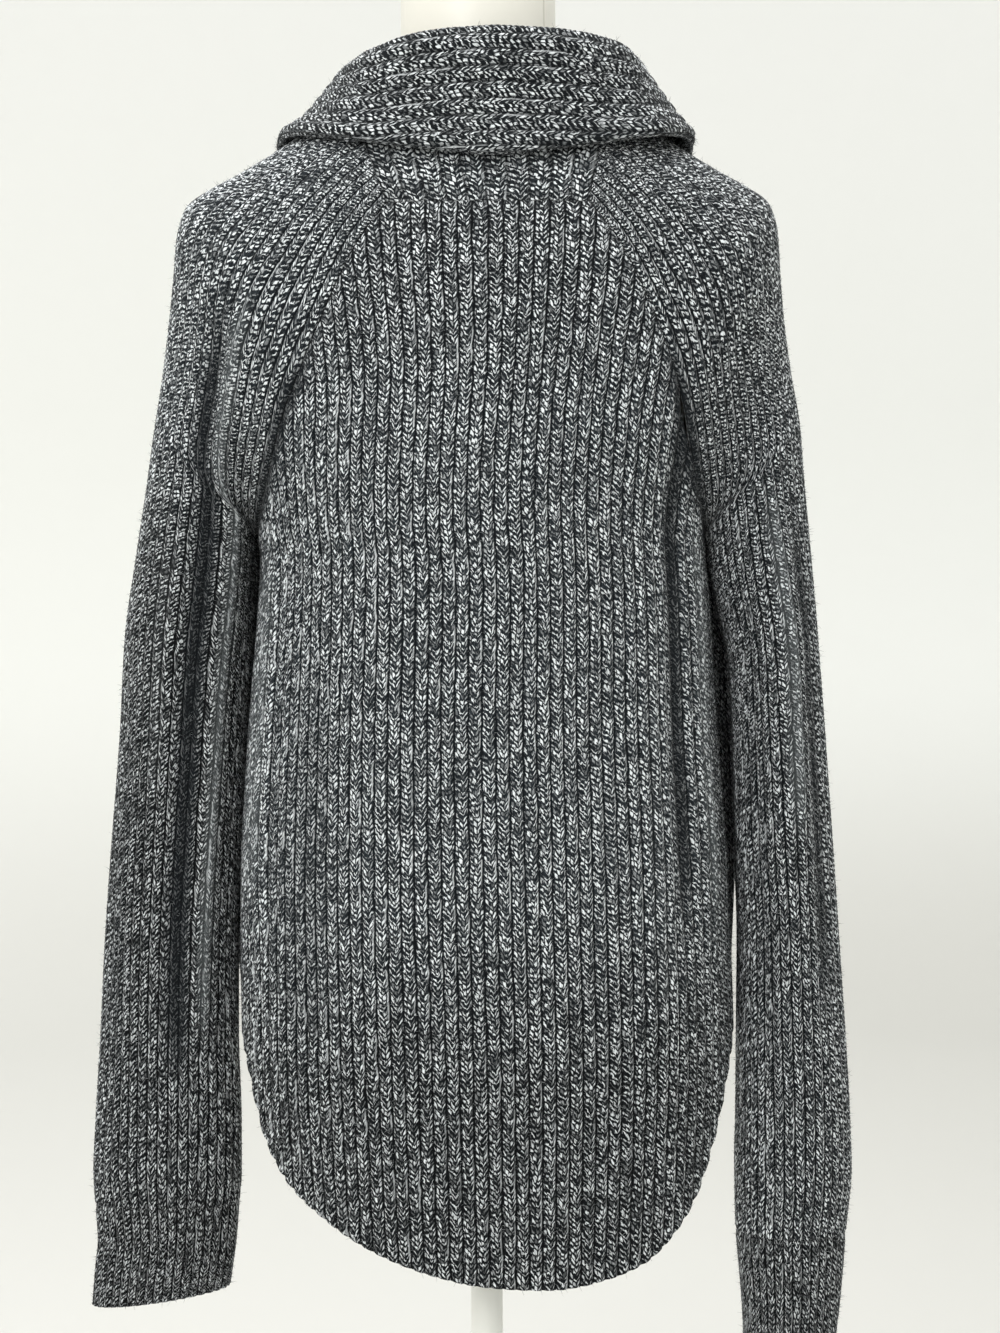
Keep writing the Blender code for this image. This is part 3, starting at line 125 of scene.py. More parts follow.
COLLAR = {
    "fold_x": (0, 44, 74, 86, 82, 61, 60, 52, 42),
    "fold_y": (80, 73, 50, 2, -52, -104, -125, -140, -145),
    "fold_z": (1262, 1260, 1257, 1256, 1233, 1176, 1106, 1020, 950),
    "lip_x":  (0, 48, 87, 112, 116, 110, 98, 78, 52),
    "lip_y":  (92, 87, 70, 8, -48, -84, -108, -131, -140),
    "lip_z":  (1204, 1207, 1218, 1231, 1202, 1152, 1078, 1004, 940),
    "edge_x": (0, 50, 100, 134, 138, 130, 114, 90, 56),
    "edge_y": (95, 92, 76, 14, -53, -86, -104, -124, -136),
    "edge_z": (1177, 1183, 1193, 1201, 1178, 1114, 1048, 985, 932),
}

# %% [markdown]
# ## Small tools for surfaces
# Rings and rows are joined by a curve that never overshoots its stations, which is what keeps
# cloth from bulging between two measured widths. All the work is done on whole arrays of points
# at once, because a sheet of knitting has a hundred thousand of them.

# %% Curves, directions and points
def ease(value):
    """Smooth 0 to 1 ramp."""
    value = np.clip(value, 0.0, 1.0)
    return value * value * (3.0 - 2.0 * value)


def curve(xs, ys, at):
    """Smooth curve through a table's stations, without overshoot."""
    xs = np.asarray(xs, float)
    ys = np.asarray(ys, float)
    at = np.clip(np.asarray(at, float), xs[0], xs[-1])
    step = np.diff(xs)
    rise = np.diff(ys) / step
    slope = np.empty_like(ys)
    slope[0] = rise[0]
    slope[-1] = rise[-1]
    same = rise[:-1] * rise[1:] > 0.0
    total = np.where(same, rise[:-1] + rise[1:], 1.0)
    slope[1:-1] = np.where(same, 2.0 * rise[:-1] * rise[1:] / total, 0.0)
    k = np.clip(np.searchsorted(xs, at, side="right") - 1, 0, len(xs) - 2)
    t = (at - xs[k]) / step[k]
    a = (2 * t ** 3 - 3 * t ** 2 + 1) * ys[k] + (t ** 3 - 2 * t ** 2 + t) * step[k] * slope[k]
    b = (3 * t ** 2 - 2 * t ** 3) * ys[k + 1] + (t ** 3 - t ** 2) * step[k] * slope[k + 1]
    return a + b


def unit(vector):
    """Vectors of length one."""
    size = np.linalg.norm(vector, axis=-1, keepdims=True)
    return vector / np.maximum(size, 1e-9)


def join(*parts):
    """Stack coordinates into points."""
    return np.stack(np.broadcast_arrays(*parts), axis=-1)


def columns_at(where, xs, data):
    """Read the columns of a table of points at the places `where`."""
    return join(*[np.interp(where, xs, data[:, k]) for k in range(3)])


# %% [markdown]
# ## The body
# The back and the fronts lie on one tube of oval rings. A rib of a knitted panel keeps its own
# share of the width from top to bottom, so points are found by their share of the way round and
# their height. The way round is measured along the oval, not by its angle, or the ribs would
# crowd at the sides. A table of those angles is worked out once and then read.

# %% Body rings and the two panels that lie on them
def ring(z):
    """Half width, shift and depths of the body at height z."""
    return [curve(BODY["z"], BODY[key], z) for key in ("half", "shift", "back", "front")]


def quarter(z, samples=81):
    """Arc length from the side seam against angle, for half the back."""
    half, _, back, _ = ring(z)
    angle = np.linspace(0.0, math.pi / 2, samples)
    step = np.hypot(half * np.sin(angle), back * np.cos(angle))
    length = np.concatenate(([0.0], np.cumsum((step[1:] + step[:-1]) / 2 * angle[1])))
    return angle, length


def front_line(z, side, samples=121):
    """Front at height z from its side seam inward: length, x and y, and where its edge stands."""
    half, _, _, ahead = ring(z)
    angle = np.linspace(0.0, math.pi / 2, samples)
    bump = np.sin(math.pi * np.minimum(angle / FLARE_END, 1.0)) ** 2
    flare = BODY["flare" if side > 0 else "right"]
    x = half * np.cos(angle) + float(curve(BODY["z"], flare, z)) * bump
    y = -ahead * np.sin(angle)
    length = np.concatenate(([0.0], np.cumsum(np.hypot(np.diff(x), np.diff(y)))))
    widest = int(np.argmax(x))
    stop = float(np.interp(-float(front_edge(z)), -x[widest:], length[widest:]))
    return length, x, y, stop


def raglan_angle(z):
    """Angle on the body ring where the raglan seam stands."""
    return np.arccos(np.clip(curve(RAGLAN["z"], RAGLAN["half"], z) / ring(z)[0], -1.0, 1.0))


def front_edge(z):
    """Distance of the front edge from the centre line."""
    return curve(FRONT_EDGE["z"], FRONT_EDGE["half"], z)


SPREAD = 0.16             # the back's ribs stand this much wider at its top
SPREAD_FROM = 1010.0
SPREAD_LONG = 140.0


def back_spread(z):
    """How much wider the back's ribs stand at height z than at the armpit."""
    return 1.0 + SPREAD * float(ease((z - SPREAD_FROM) / SPREAD_LONG))


LEVEL_STEP = 2.0
LEVELS = np.arange(430.0, 1150.0, LEVEL_STEP)
SHARES = np.linspace(0.0, 1.0, 161)


def place_tables():
    """Angle of each share at each level for half the back, and the places of a front."""
    back = np.empty((len(LEVELS), len(SHARES)))
    fore = {1: np.empty((2,) + back.shape), -1: np.empty((2,) + back.shape)}
    pit_back = quarter(ARMPIT_Z)[1][-1]
    pit_front = front_line(ARMPIT_Z, 1)[3]
    for i, z in enumerate(LEVELS):
        angle, length = quarter(z)
        whole = length[-1]
        if z > ARMPIT_Z:
            whole = pit_back * back_spread(z)
        back[i] = np.interp(np.clip(length[-1] - SHARES * whole, 0.0, length[-1]), length, angle)
        for side, table in fore.items():
            length, x, y, stop = front_line(z, side)
            width = pit_front if z > ARMPIT_Z else stop
            at = np.maximum(0.0, stop - (1.0 - SHARES) * width)
            table[:, i] = np.interp(at, length, x), np.interp(at, length, y)
    return back, fore


BACK_ANGLES, FRONT_PLACES = place_tables()


def read_table(table, share, z):
    """Value for a share at height z, between the table's entries."""
    i = np.clip((z - LEVELS[0]) / LEVEL_STEP, 0.0, len(LEVELS) - 1.001)
    j = np.clip(share * (len(SHARES) - 1), 0.0, len(SHARES) - 1.001)
    i0 = i.astype(int)
    j0 = j.astype(int)
    fi = i - i0
    fj = j - j0
    low = table[i0, j0] * (1 - fj) + table[i0, j0 + 1] * fj
    high = table[i0 + 1, j0] * (1 - fj) + table[i0 + 1, j0 + 1] * fj
    return low * (1 - fi) + high * fi


def back_place(share, z):
    """Points of the back: share -1..1 from side seam to side seam."""
    share, z = np.broadcast_arrays(share, z)
    angle = read_table(BACK_ANGLES, np.abs(share), z)
    half, shift, back, _ = ring(z)
    return join(shift + np.where(share < 0, -1.0, 1.0) * half * np.cos(angle),
                back * np.sin(angle), z)


def front_place(side, share, z):
    """Points of one front: share 0 at the side seam, 1 at the front edge."""
    share, z = np.broadcast_arrays(share, z)
    across = ring(z)[1] + side * read_table(FRONT_PLACES[side][0], share, z)
    return join(across, read_table(FRONT_PLACES[side][1], share, z), z)


def seam_point(side, z, front):
    """Point on the raglan seam of one side."""
    half, shift, back, ahead = ring(z)
    angle = raglan_angle(z)
    depth = np.where(front, -ahead, back)
    return join(shift + side * half * np.cos(angle), depth * np.sin(angle), z)


def surface_out(place, share, z, away):
    """Outward directions of a body panel, turned away from the centre line point `away`."""
    across = place(share + 0.004, z) - place(share - 0.004, z)
    down = place(share, z - 1.5) - place(share, z + 1.5)
    out = unit(np.cross(across, down))
    turn = np.sum(out * (place(share, z) - away) * (1.0, 1.0, 0.0), -1, keepdims=True)
    return out * np.where(turn < 0, -1.0, 1.0)


print("body tables:", BACK_ANGLES.shape, "angles")

# %% [markdown]
# ## The sleeves
# A raglan sleeve starts as an open strip between two seams at the neck and closes into a tube at
# the armpit. Each row is half an oval standing on the line between its two seam points; from the
# armpit down it swells into a whole one. The row's outer point runs over the shoulder and down
# the arm, and the distance along that line is what says how far down the sleeve a stitch is.

# %% Rows of a sleeve
def row_tables(side):
    """Stations of a sleeve from the neck to the cuff's end."""
    arm = ARM[side]
    seam = np.array(SHOULDER["seam"], float)
    back = seam_point(side, seam, False)
    fore = seam_point(side, seam, True)
    high = np.array(SHOULDER["z"], float)
    out = join(side * np.array(SHOULDER["out" if side > 0 else "right"], float), 0.0 * seam, high)
    even = join(side * np.array(SHOULDER["out"], float), 0.0 * seam, high)
    y = np.array(arm["y"], float)
    low_out = join(side * np.array(arm["out"], float), y, np.array(arm["z"], float))
    low_in = join(side * np.array(arm["in"], float), y, np.array(arm["in_z"], float))
    reach = np.abs(back[:, 1] - fore[:, 1]) / 2
    out = np.concatenate((out, low_out))
    even = np.concatenate((even, low_out))
    back = np.concatenate((back, low_in))
    fore = np.concatenate((fore, low_in))
    deep = np.concatenate((reach + np.array(SHOULDER["deep"], float),
                           np.array(arm["deep"], float)))
    run = np.concatenate(([0.0], np.cumsum(np.linalg.norm(np.diff(even, axis=0), axis=1))))
    return run, out, back, fore, deep


RUNS = {side: row_tables(side) for side in (1, -1)}
PIT = len(SHOULDER["seam"]) - 1


def seam_of_run(side, run):
    """Seam height that a sleeve row starts at."""
    return curve(RUNS[side][0][:PIT + 1], SHOULDER["seam"], run)


def row_of_seam(z):
    """Run of the sleeve row that starts at seam height z."""
    grid = np.linspace(0.0, RUNS[1][0][PIT], 400)
    return np.interp(-np.asarray(z, float), -seam_of_run(1, grid), grid)


def row_shape(side, run):
    """Centre, outward and depth vectors of a sleeve row and the angle it starts at."""
    table = RUNS[side]
    run = np.asarray(run, float)
    out, back, fore = [join(*[curve(table[0], data[:, k], run) for k in range(3)])
                       for data in table[1:4]]
    upper = (run < table[0][PIT])[..., None]
    seam = np.where(upper[..., 0], seam_of_run(side, run), ARMPIT_Z)
    back = np.where(upper, seam_point(side, seam, False), back)
    fore = np.where(upper, seam_point(side, seam, True), fore)
    deep = curve(table[0], table[4], run)
    middle = (back + fore) / 2
    reach = np.linalg.norm(back - fore, axis=-1) / 2
    deep = np.maximum(deep, reach)
    start = -np.arccos(np.clip(reach / deep, 0.0, 1.0))
    away = (out - middle) / (1.0 - np.sin(start))[..., None]
    along = np.where((reach > 1.0)[..., None], unit(back - fore), np.array((0.0, 1.0, 0.0)))
    return out - away, away, along * deep[..., None], start


def sleeve_rows(side, run, share):
    """Points of a sleeve: run along it, share round it from the back seam to the front seam."""
    centre, away, depth, start = row_shape(side, run)
    fine = np.linspace(0.0, 1.0, 181)
    points = np.empty((len(run), len(share), 3))
    for i in range(len(run)):
        angle = start[i] + (math.pi - 2 * start[i]) * fine
        path = centre[i] + np.outer(np.sin(angle), away[i]) + np.outer(np.cos(angle), depth[i])
        length = np.concatenate(([0.0], np.cumsum(np.linalg.norm(np.diff(path, axis=0), axis=1))))
        where = np.interp(share, length / length[-1], angle)
        points[i] = centre[i] + np.outer(np.sin(where), away[i]) + np.outer(np.cos(where), depth[i])
    return points


print("sleeve runs:", [round(float(RUNS[s][0][-1])) for s in (1, -1)], "mm")

# %% [markdown]
# ## Turning a surface into knitting
# In a one-by-one rib only the knit stitches face outward, one chain of V-shaped stitches on every
# rib, with the purl stitches drawn back into a narrow valley. A V can be painted on, but then the
# cloth looks printed from the side. Here the mesh is the knitting: it has four columns to a rib
# and two rows to a stitch, its rows run down one leg of the V and up the other, and every second
# row stands proud. The mesh is cut to the panel's shape by holding its rows at the seam line, so
# the stitches keep their size and the ribs simply end there, as they do on a raglan.

# %% Stitches
STITCH = 3.4              # height of a stitch on the body and sleeves
RIB_RISE = 1.8            # how far a rib stands above its valley
STITCH_RISE = 0.34        # how far one stitch stands above the gap to the next
SLANT = 5.0               # drop of a stitch's longer leg
RIB_STEPS = (0.0, 0.30, 0.62, 0.84)
RIB_SHAPE = (0.0, 0.86, 1.0, 0.72)
LEG_SHAPE = (0.0, 1.0, 0.55, 0.9)
LEG_DROP = (0.0, 0.5, 1.0, 0.42)


def rib_columns(ribs, mirrored=False):
    """Place in ribs, height, stitch height and drop of the columns of a panel."""
    u = []
    for rib in range(ribs):
        for k in range(4):
            u.append((rib + RIB_STEPS[k], RIB_SHAPE[k], LEG_SHAPE[k], LEG_DROP[k]))
    u.append((float(ribs), 0.0, 0.0, 0.0))
    table = np.array(u)
    if mirrored:
        table = table[::-1].copy()
        table[:, 0] = ribs - table[:, 0]
    return table


def relief(table, stitch, fade, rise=RIB_RISE):
    """Height of the knitted face over its cloth, for columns `table` at stitch counts."""
    wave = np.cos(2 * math.pi * stitch)
    return (rise * table[:, 1] + STITCH_RISE * table[:, 2] * wave) * fade


# %% [markdown]
# A mesh is quickest to make from whole arrays. Points that fall on one place, as they do where a
# row is held at a seam, are merged first, and faces that are left with fewer than three corners
# are dropped. Each face keeps its place in the knitting as a UV map, counted in ribs and
# stitches, so that the yarn's colours can follow the stitches anywhere on the cloth.

# %% Meshes from arrays
def merge_points(points):
    """Index of each point's first twin, and the points that stay."""
    keys = np.round(points * 2e3).astype(np.int64)
    _, first, back = np.unique(keys, axis=0, return_index=True, return_inverse=True)
    return back.reshape(-1), points[first]


def signed_volume(points, quads):
    """Volume inside a closed mesh of quads, negative if its faces look inward."""
    p = points[quads]
    one = np.sum(p[:, 0] * np.cross(p[:, 1], p[:, 2]))
    two = np.sum(p[:, 0] * np.cross(p[:, 2], p[:, 3]))
    return (one + two) / 6.0


def mesh_object(name, points, quads, maps, material):
    """Object of quads in mm with its UV maps; merged corners make some of them triangles."""
    index, kept = merge_points(points)
    q = index[quads]
    if signed_volume(points, quads) < 0.0:
        quads = quads[:, ::-1]
        q = q[:, ::-1]
    keep = q != np.roll(q, -1, axis=1)
    good = (keep.sum(1) >= 3) & (q[:, 0] != q[:, 2]) & (q[:, 1] != q[:, 3])
    q = q[good]
    quads = quads[good]
    keep = keep[good]
    corner = q[keep]
    source = quads[keep]
    start = np.concatenate(([0], np.cumsum(keep.sum(1))[:-1]))
    mesh = bpy.data.meshes.new(name)
    mesh.vertices.add(len(kept))
    mesh.vertices.foreach_set("co", (kept * MM).astype(np.float32).ravel())
    mesh.loops.add(len(corner))
    mesh.loops.foreach_set("vertex_index", corner.astype(np.int32))
    mesh.polygons.add(len(start))
    mesh.polygons.foreach_set("loop_start", start.astype(np.int32))
    mesh.polygons.foreach_set("use_smooth", np.ones(len(start), bool))
    for label, data in maps.items():
        layer = mesh.uv_layers.new(name=label)
        layer.data.foreach_set("uv", data[source].astype(np.float32).ravel())
    mesh.update(calc_edges=True)
    mesh.validate()
    mesh.materials.append(material)
    thing = bpy.data.objects.new(name, mesh)
    bpy.context.scene.collection.objects.link(thing)
    return thing


LIE_SPAN = 16.0           # the map of ridges and troughs holds this many mm


def knit_shell(name, outer, inner, rib, stitch, inner_rows, material, open_rows=None, lie=0.0):
    """Closed shell of a fine outer grid and an inner grid with the same columns.

    inner_rows names the outer row that each inner row lies under. open_rows is how many of them
    have free sides, from the first one: None for all, 0 for a tube. lie is how far the cloth
    stands out or in there, in mm, which the finish reads to paint a highlight on a ridge and shade
    in a trough.
    """
    rows, cols = outer.shape[:2]
    low = len(inner_rows)
    points = np.concatenate((outer.reshape(-1, 3), inner.reshape(-1, 3)))
    ribs = np.broadcast_to(rib, (rows, cols))
    knit = np.concatenate((join(ribs, stitch).reshape(-1, 2),
                           join(ribs + 0.5, stitch)[inner_rows].reshape(-1, 2)))
    across = np.broadcast_to(np.arange(cols) / (cols - 1), (rows, cols))
    down = np.broadcast_to(np.arange(rows)[:, None] / (rows - 1), (rows, cols))
    bake = np.concatenate((join(across, 0.26 + 0.73 * down).reshape(-1, 2),
                           join(across, 0.01 + 0.22 * down)[inner_rows].reshape(-1, 2)))
    a = np.arange(rows * cols).reshape(rows, cols)
    b = rows * cols + np.arange(low * cols).reshape(low, cols)
    quads = [np.stack((a[:-1, :-1], a[:-1, 1:], a[1:, 1:], a[1:, :-1]), -1).reshape(-1, 4),
             np.stack((b[:-1, :-1], b[1:, :-1], b[1:, 1:], b[:-1, 1:]), -1).reshape(-1, 4),
             np.stack((a[0, 1:], a[0, :-1], b[0, :-1], b[0, 1:]), -1),
             np.stack((a[-1, :-1], a[-1, 1:], b[-1, 1:], b[-1, :-1]), -1)]
    for n in range((low if open_rows is None else open_rows) - 1):
        first, last = inner_rows[n], inner_rows[n + 1]
        for i in range(first, last):
            quads.append(np.array([(a[i, 0], a[i + 1, 0], b[n, 0], b[n, 0]),
                                   (a[i + 1, -1], a[i, -1], b[n, -1], b[n, -1])]))
        quads.append(np.array([(a[last, 0], b[n + 1, 0], b[n, 0], b[n, 0]),
                               (b[n + 1, -1], a[last, -1], b[n, -1], b[n, -1])]))
    lie = np.broadcast_to(0.5 + np.asarray(lie) / LIE_SPAN, (rows, cols))
    lie = np.concatenate((lie.ravel(), np.full(low * cols, 0.5)))
    maps = {"knit": knit, "OFBake": bake, "lie": join(lie, 0.5)}
    return mesh_object(name, points, np.concatenate(quads), maps, material)


# %% [markdown]
# ## The yarn
# Marled yarn is two plies twisted together, so each stitch shows short slanted dashes of off-white
# beside near-black ones, and no two stitches show them alike. The finish is worked out in the
# knitting's own coordinates: the whole part of the first is the rib and of the second the stitch,
# and a random number for that pair decides how light the stitch is. Noise stretched along the
# ribs bends and breaks the dashes. A small class lets the node maths be written as expressions.

# %% Shader maths as expressions
class Value:
    """A socket on which Python's arithmetic works: each operator adds one Math node."""

    def __init__(self, nodes, socket):
        self.nodes = nodes
        self.socket = socket

    def maths(self, operation, *values):
        return self.nodes.add("Math", {"operation": operation}, dict(enumerate(values)))

    def __add__(self, other):
        return self.maths("ADD", self, other)

    def __sub__(self, other):
        return self.maths("SUBTRACT", self, other)

    def __rsub__(self, other):
        return self.maths("SUBTRACT", other, self)

    def __mul__(self, other):
        return self.maths("MULTIPLY", self, other)

    def __abs__(self):
        return self.maths("ABSOLUTE", self)

    __radd__ = __add__
    __rmul__ = __mul__

    def whole(self):
        return self.maths("FLOOR", self)

    def part(self):
        return self.maths("FRACT", self)

    def ramp(self, low, high, start=0.0, stop=1.0):
        """Smooth step from start to stop as the value goes from low to high."""
        return self.nodes.add("MapRange", {"interpolation_type": "SMOOTHSTEP"},
                              {"Value": self, "From Min": low, "From Max": high,
                               "To Min": start, "To Max": stop})


class Nodes:
    """The node tree of one finish."""

    def __init__(self, name):
        self.material = bpy.data.materials.new(name)
        self.material.use_nodes = True
        self.tree = self.material.node_tree
        self.shader = self.tree.nodes["Principled BSDF"]

    def add(self, kind, settings=None, inputs=None, out=0):
        """Any node: its settings first, then the values or links of its sockets."""
        node = self.tree.nodes.new("ShaderNode" + kind)
        for key, value in (settings or {}).items():
            setattr(node, key, value)
        for key, value in (inputs or {}).items():
            if isinstance(value, Value):
                self.tree.links.new(value.socket, node.inputs[key])
            else:
                node.inputs[key].default_value = value
        return Value(self, node.outputs[out])

    def feed(self, **sockets):
        """Give the shader constants or links; an underscore stands for a space."""
        for key, value in sockets.items():
            socket = self.shader.inputs[key.replace("_", " ")]
            if isinstance(value, Value):
                self.tree.links.new(value.socket, socket)
            else:
                socket.default_value = value

    def noise(self, x, y, seed, scale=1.0, detail=1.0):
        """Noise from -1 to 1 or so over two coordinates."""
        place = self.add("CombineXYZ", None, {0: x, 1: y, 2: seed})
        raw = self.add("TexNoise", {"noise_dimensions": "3D"},
                       {"Vector": place, "Scale": scale, "Detail": detail})
        return (raw - 0.5) * 2.0

    def chance(self, x, y, seed):
        """Random number from 0 to 1 for each pair of whole coordinates."""
        place = self.add("CombineXYZ", None, {0: x, 1: y, 2: seed})
        return self.add("TexWhiteNoise", {"noise_dimensions": "3D"}, {"Vector": place})

    def here(self):
        """Three coordinates of the place on the piece, in metres."""
        place = self.add("TexCoord", None, None, out=3)
        return [self.add("SeparateXYZ", None, {0: place}, out=k) for k in range(3)]

    def laid(self, name):
        """Two coordinates of a UV map."""
        place = self.add("UVMap", {"uv_map": name})
        return [self.add("SeparateXYZ", None, {0: place}, out=k) for k in range(2)]

    def mix(self, factor, one, two):
        """Blend of two colours."""
        return self.add("Mix", {"data_type": "RGBA"}, {0: factor, 6: one, 7: two}, out=2)


# %% The marled knit
CHARCOAL = (0.0048, 0.0066, 0.0084, 1.0)
SLATE = (0.071, 0.088, 0.103, 1.0)
OFF_WHITE = (0.78, 0.815, 0.84, 1.0)
RIDGE_HIGHLIGHT = (0.26, 0.285, 0.295, 1.0)
LEG_END = 0.62            # where the stitch's two legs meet, across a rib
PLIES = 3.5               # light flecks across a rib


def marled_knit(name, seed, tone, mirrored=False, plies=PLIES, valley=0.08):
    """Rib knit of a charcoal and off-white twisted yarn, in rib and stitch coordinates.

    tone is a row of (low height, high height, value below, value above) in metres, painted shade
    that darkens the piece by height; valley is how light the yarn stays between two ribs, painted
    shade in the valleys.
    """
    n = Nodes(name)
    # pale is painted shade by height: 1 where the cloth keeps its colour, lower where it is painted
    # darker.
    pale = 1.0
    up = n.here()[2]
    for low, high, below, above in tone:
        pale = up.ramp(low, high, below, above) * pale
    u, t = n.laid("knit")
    if mirrored:
        u = 1000.0 - u
    # Bend the ribs a little and let the stitches run ahead or lag.
    sway = n.noise(u * 0.9, t * 0.3, seed, detail=2.0)
    jump = n.noise(u * 3.0, t * 1.1, seed + 3.0, detail=2.0)
    u = u + sway * 0.16
    t = t + jump * 0.95
    lie = (n.laid("lie")[0] - 0.5) * LIE_SPAN
    # a is the place across one rib; painted shade darkens the rib at both of its sides, into the
    # valleys between ribs, and in the groove where the two legs of a stitch meet.
    rib = u.whole()
    a = u.part()
    body = valley + (1.0 - valley) * a.ramp(0.03, 0.15) * (1.0 - a.ramp(0.86, 0.98))
    crease = 1.0 - 0.5 * (1.0 - abs(a - LEG_END).ramp(0.0, 0.05))
    # Split each rib into plies and each ply into dashes, every one with its own luck.
    shift = n.chance(rib, t.whole(), seed + 2.0)
    cell = a * plies + shift
    ply = rib * 7.0 + cell.whole()
    split = t + 0.6 * n.chance(ply, 0.0, seed + 1.0)
    stitch = split.whole()
    s = split.part()
    c = cell.part()
    luck = n.chance(ply, stitch, seed + 5.0)
    tall = s.ramp(0.02, 0.20) * (1.0 - s.ramp(0.42, 0.62))
    wide = c.ramp(0.0, 0.18) * (1.0 - c.ramp(0.66, 0.92))
    # Uneven dyeing from broad to fine, which makes dashes lighter or darker.
    patch = n.noise(u * 0.55, t * 0.22, seed + 7.0, detail=1.0)
    blotch = n.noise(u * 1.6, t * 0.8, seed + 8.0, detail=2.0)
    grain = n.noise(u * 11.0, t * 3.6, seed + 9.0, detail=2.0)
    fleck = tall * wide * luck.ramp(0.0, 0.70, 0.14, 1.0) * body * crease
    light = fleck * (1.15 + patch * 0.45 + blotch * 0.45 + grain * 1.1)
    # Here and there one light ply runs along the edge of a rib.
    line_at = 0.885 + 0.07 * n.noise(u * 0.4, t * 0.5, seed + 11.0)
    shown = n.noise(rib * 7.31, t * 0.17, seed + 13.0, detail=1.0).ramp(0.08, 0.30)
    line = (1.0 - abs(a - line_at).ramp(0.02, 0.075)) * shown
    line = line * (0.6 + grain * 0.7 + blotch * 0.4)
    # Grey haze of the wool between the dashes, then painted shade by height, a painted highlight on
    # ridges and painted shade in troughs.
    haze = body * (0.12 + patch * 0.12 + blotch * 0.12 + grain * 0.60)
    strand = light.maths("MAXIMUM", light, line)
    ground = n.mix(haze, CHARCOAL, SLATE)
    strand = strand * (0.35 + 0.65 * pale)
    ground = n.mix(1.0 - pale * pale, ground, (0.0, 0.0, 0.0, 1.0))
    colour = n.mix(strand.maths("MINIMUM", strand, 1.0), ground, OFF_WHITE)
    # Painted highlight on the ridges of the folds and painted shade in their troughs, from the lie
    # map.
    colour = n.mix(lie.ramp(0.8, 3.4) * (0.20 + grain * 0.4), colour, RIDGE_HIGHLIGHT)
    colour = n.mix(lie.ramp(-4.2, -0.3, 0.86, 0.0), colour, CHARCOAL)
    height = fleck * 0.5 + body * 0.5 + line * 0.4 + grain * 0.25
    bump = n.add("Bump", None, {"Strength": 0.7, "Distance": 0.0006, "Height": height})
    n.feed(Base_Color=colour, Roughness=0.92, Normal=bump)
    n.feed(Sheen_Weight=0.05, Sheen_Roughness=0.5, Specular_IOR_Level=0.12)
    return n.material


print("finish: marled knit")

# %% [markdown]
# ## Soft drape
# Cloth that hangs never stays even. These are shallow troughs and ridges listed one by one: where
# each one is, how wide it is across the panel, where it starts and ends, and how deep it goes.
# They are uneven on purpose, and the hidden panels have some of their own.

# %% Troughs and ridges
# The finish also paints a highlight on each ridge here and shade in each trough.
FOLDS_LEFT = ((0.155, 0.030, 1130, 560, 3.6), (0.215, 0.036, 1120, 540, -4.4),
              (0.30, 0.05, 1000, 700, 1.6), (0.055, 0.035, 1010, 820, -2.6),
              (0.40, 0.05, 900, 520, -1.8), (0.70, 0.06, 1000, 650, -3.0),
              (0.80, 0.05, 960, 560, 2.2))
FOLDS_RIGHT = ((0.275, 0.030, 1010, 690, 3.2), (0.345, 0.040, 990, 580, -3.4),
               (0.17, 0.045, 960, 560, -1.8), (0.42, 0.05, 880, 520, 1.6),
               (0.68, 0.06, 1010, 640, -3.0), (0.82, 0.05, 940, 580, 2.4))
FOLDS_BACK = ((-0.78, 0.055, 1000, 640, 3.0), (-0.645, 0.040, 1110, 640, -4.4),
              (-0.54, 0.07, 940, 560, 1.4), (0.70, 0.040, 960, 620, -2.0),
              (0.80, 0.10, 980, 650, 3.0), (0.55, 0.12, 900, 560, -2.0),
              (0.02, 0.20, 860, 500, -0.7))
FOLDS_FRONT = ((0.22, 0.10, 900, 620, -2.2), (0.48, 0.09, 960, 640, 2.0),
               (0.75, 0.10, 880, 620, -1.6))


def drape(folds, share, z):
    """Height of the soft folds at a place on the cloth."""
    height = np.zeros(np.broadcast(share, z).shape)
    for centre, width, top, bottom, size in folds:
        across = np.exp(-((share - centre) / width) ** 2)
        down = ease((top - z) / 90.0) * ease((z - bottom) / 90.0)
        height = height + size * across * down
    return height


def inner_side(points, out, table):
    """Reverse of the rib: its own ribs stand where the face has its valleys."""
    return points - out * (0.62 * WALL + 1.2 * (1.0 - table[:, 1]))[..., None]


def near_seam(distance, least=0.25):
    """Ribs sink towards a seam."""
    return least + (1.0 - least) * ease(distance / 11.0)


def seam_painted_shade(distance, z):
    """Painted shade up the raglan seam and down between sleeve and side, for the finish only."""
    along = ease((1090.0 - z) / 80.0) * ease((z - 600.0) / 150.0)
    return -5.0 * along * ease(1.0 - distance / 10.0)


def under_rows(rows, step=12):
    """Outer rows that carry a row of the inner side."""
    return np.unique(np.concatenate((np.arange(0, rows, step), [rows - 1])))


# %% [markdown]
# ## The back
# The back is one panel, cut by the raglan seams at the top sides, by the strip at the top and by
# a deep rounded tail. Its stitch rows are level, so the outer ribs are shorter than the middle
# ones and simply start lower.

# %% The back
def seam_shares():
    """Share of the half back that the raglan seam cuts at each height."""
    heights = np.linspace(ARMPIT_Z, YOKE_Z, 300)
    pit = quarter(ARMPIT_Z)[1][-1]
    shares = []
    for z in heights:
        angle, length = quarter(z)
        seam = np.interp(raglan_angle(z), angle, length)
        shares.append((length[-1] - seam) / (pit * back_spread(z)))
    return heights, np.array(shares)


TOP_HEIGHTS, TOP_SHARES = seam_shares()


def hem_height(share):
    """Height of the tail on each rib."""
    z = np.full(np.shape(share), 600.0)
    for _ in range(30):
        z = 0.5 * z + 0.5 * curve(TAIL["x"], TAIL["z"], back_place(share, z)[..., 0])
    return z


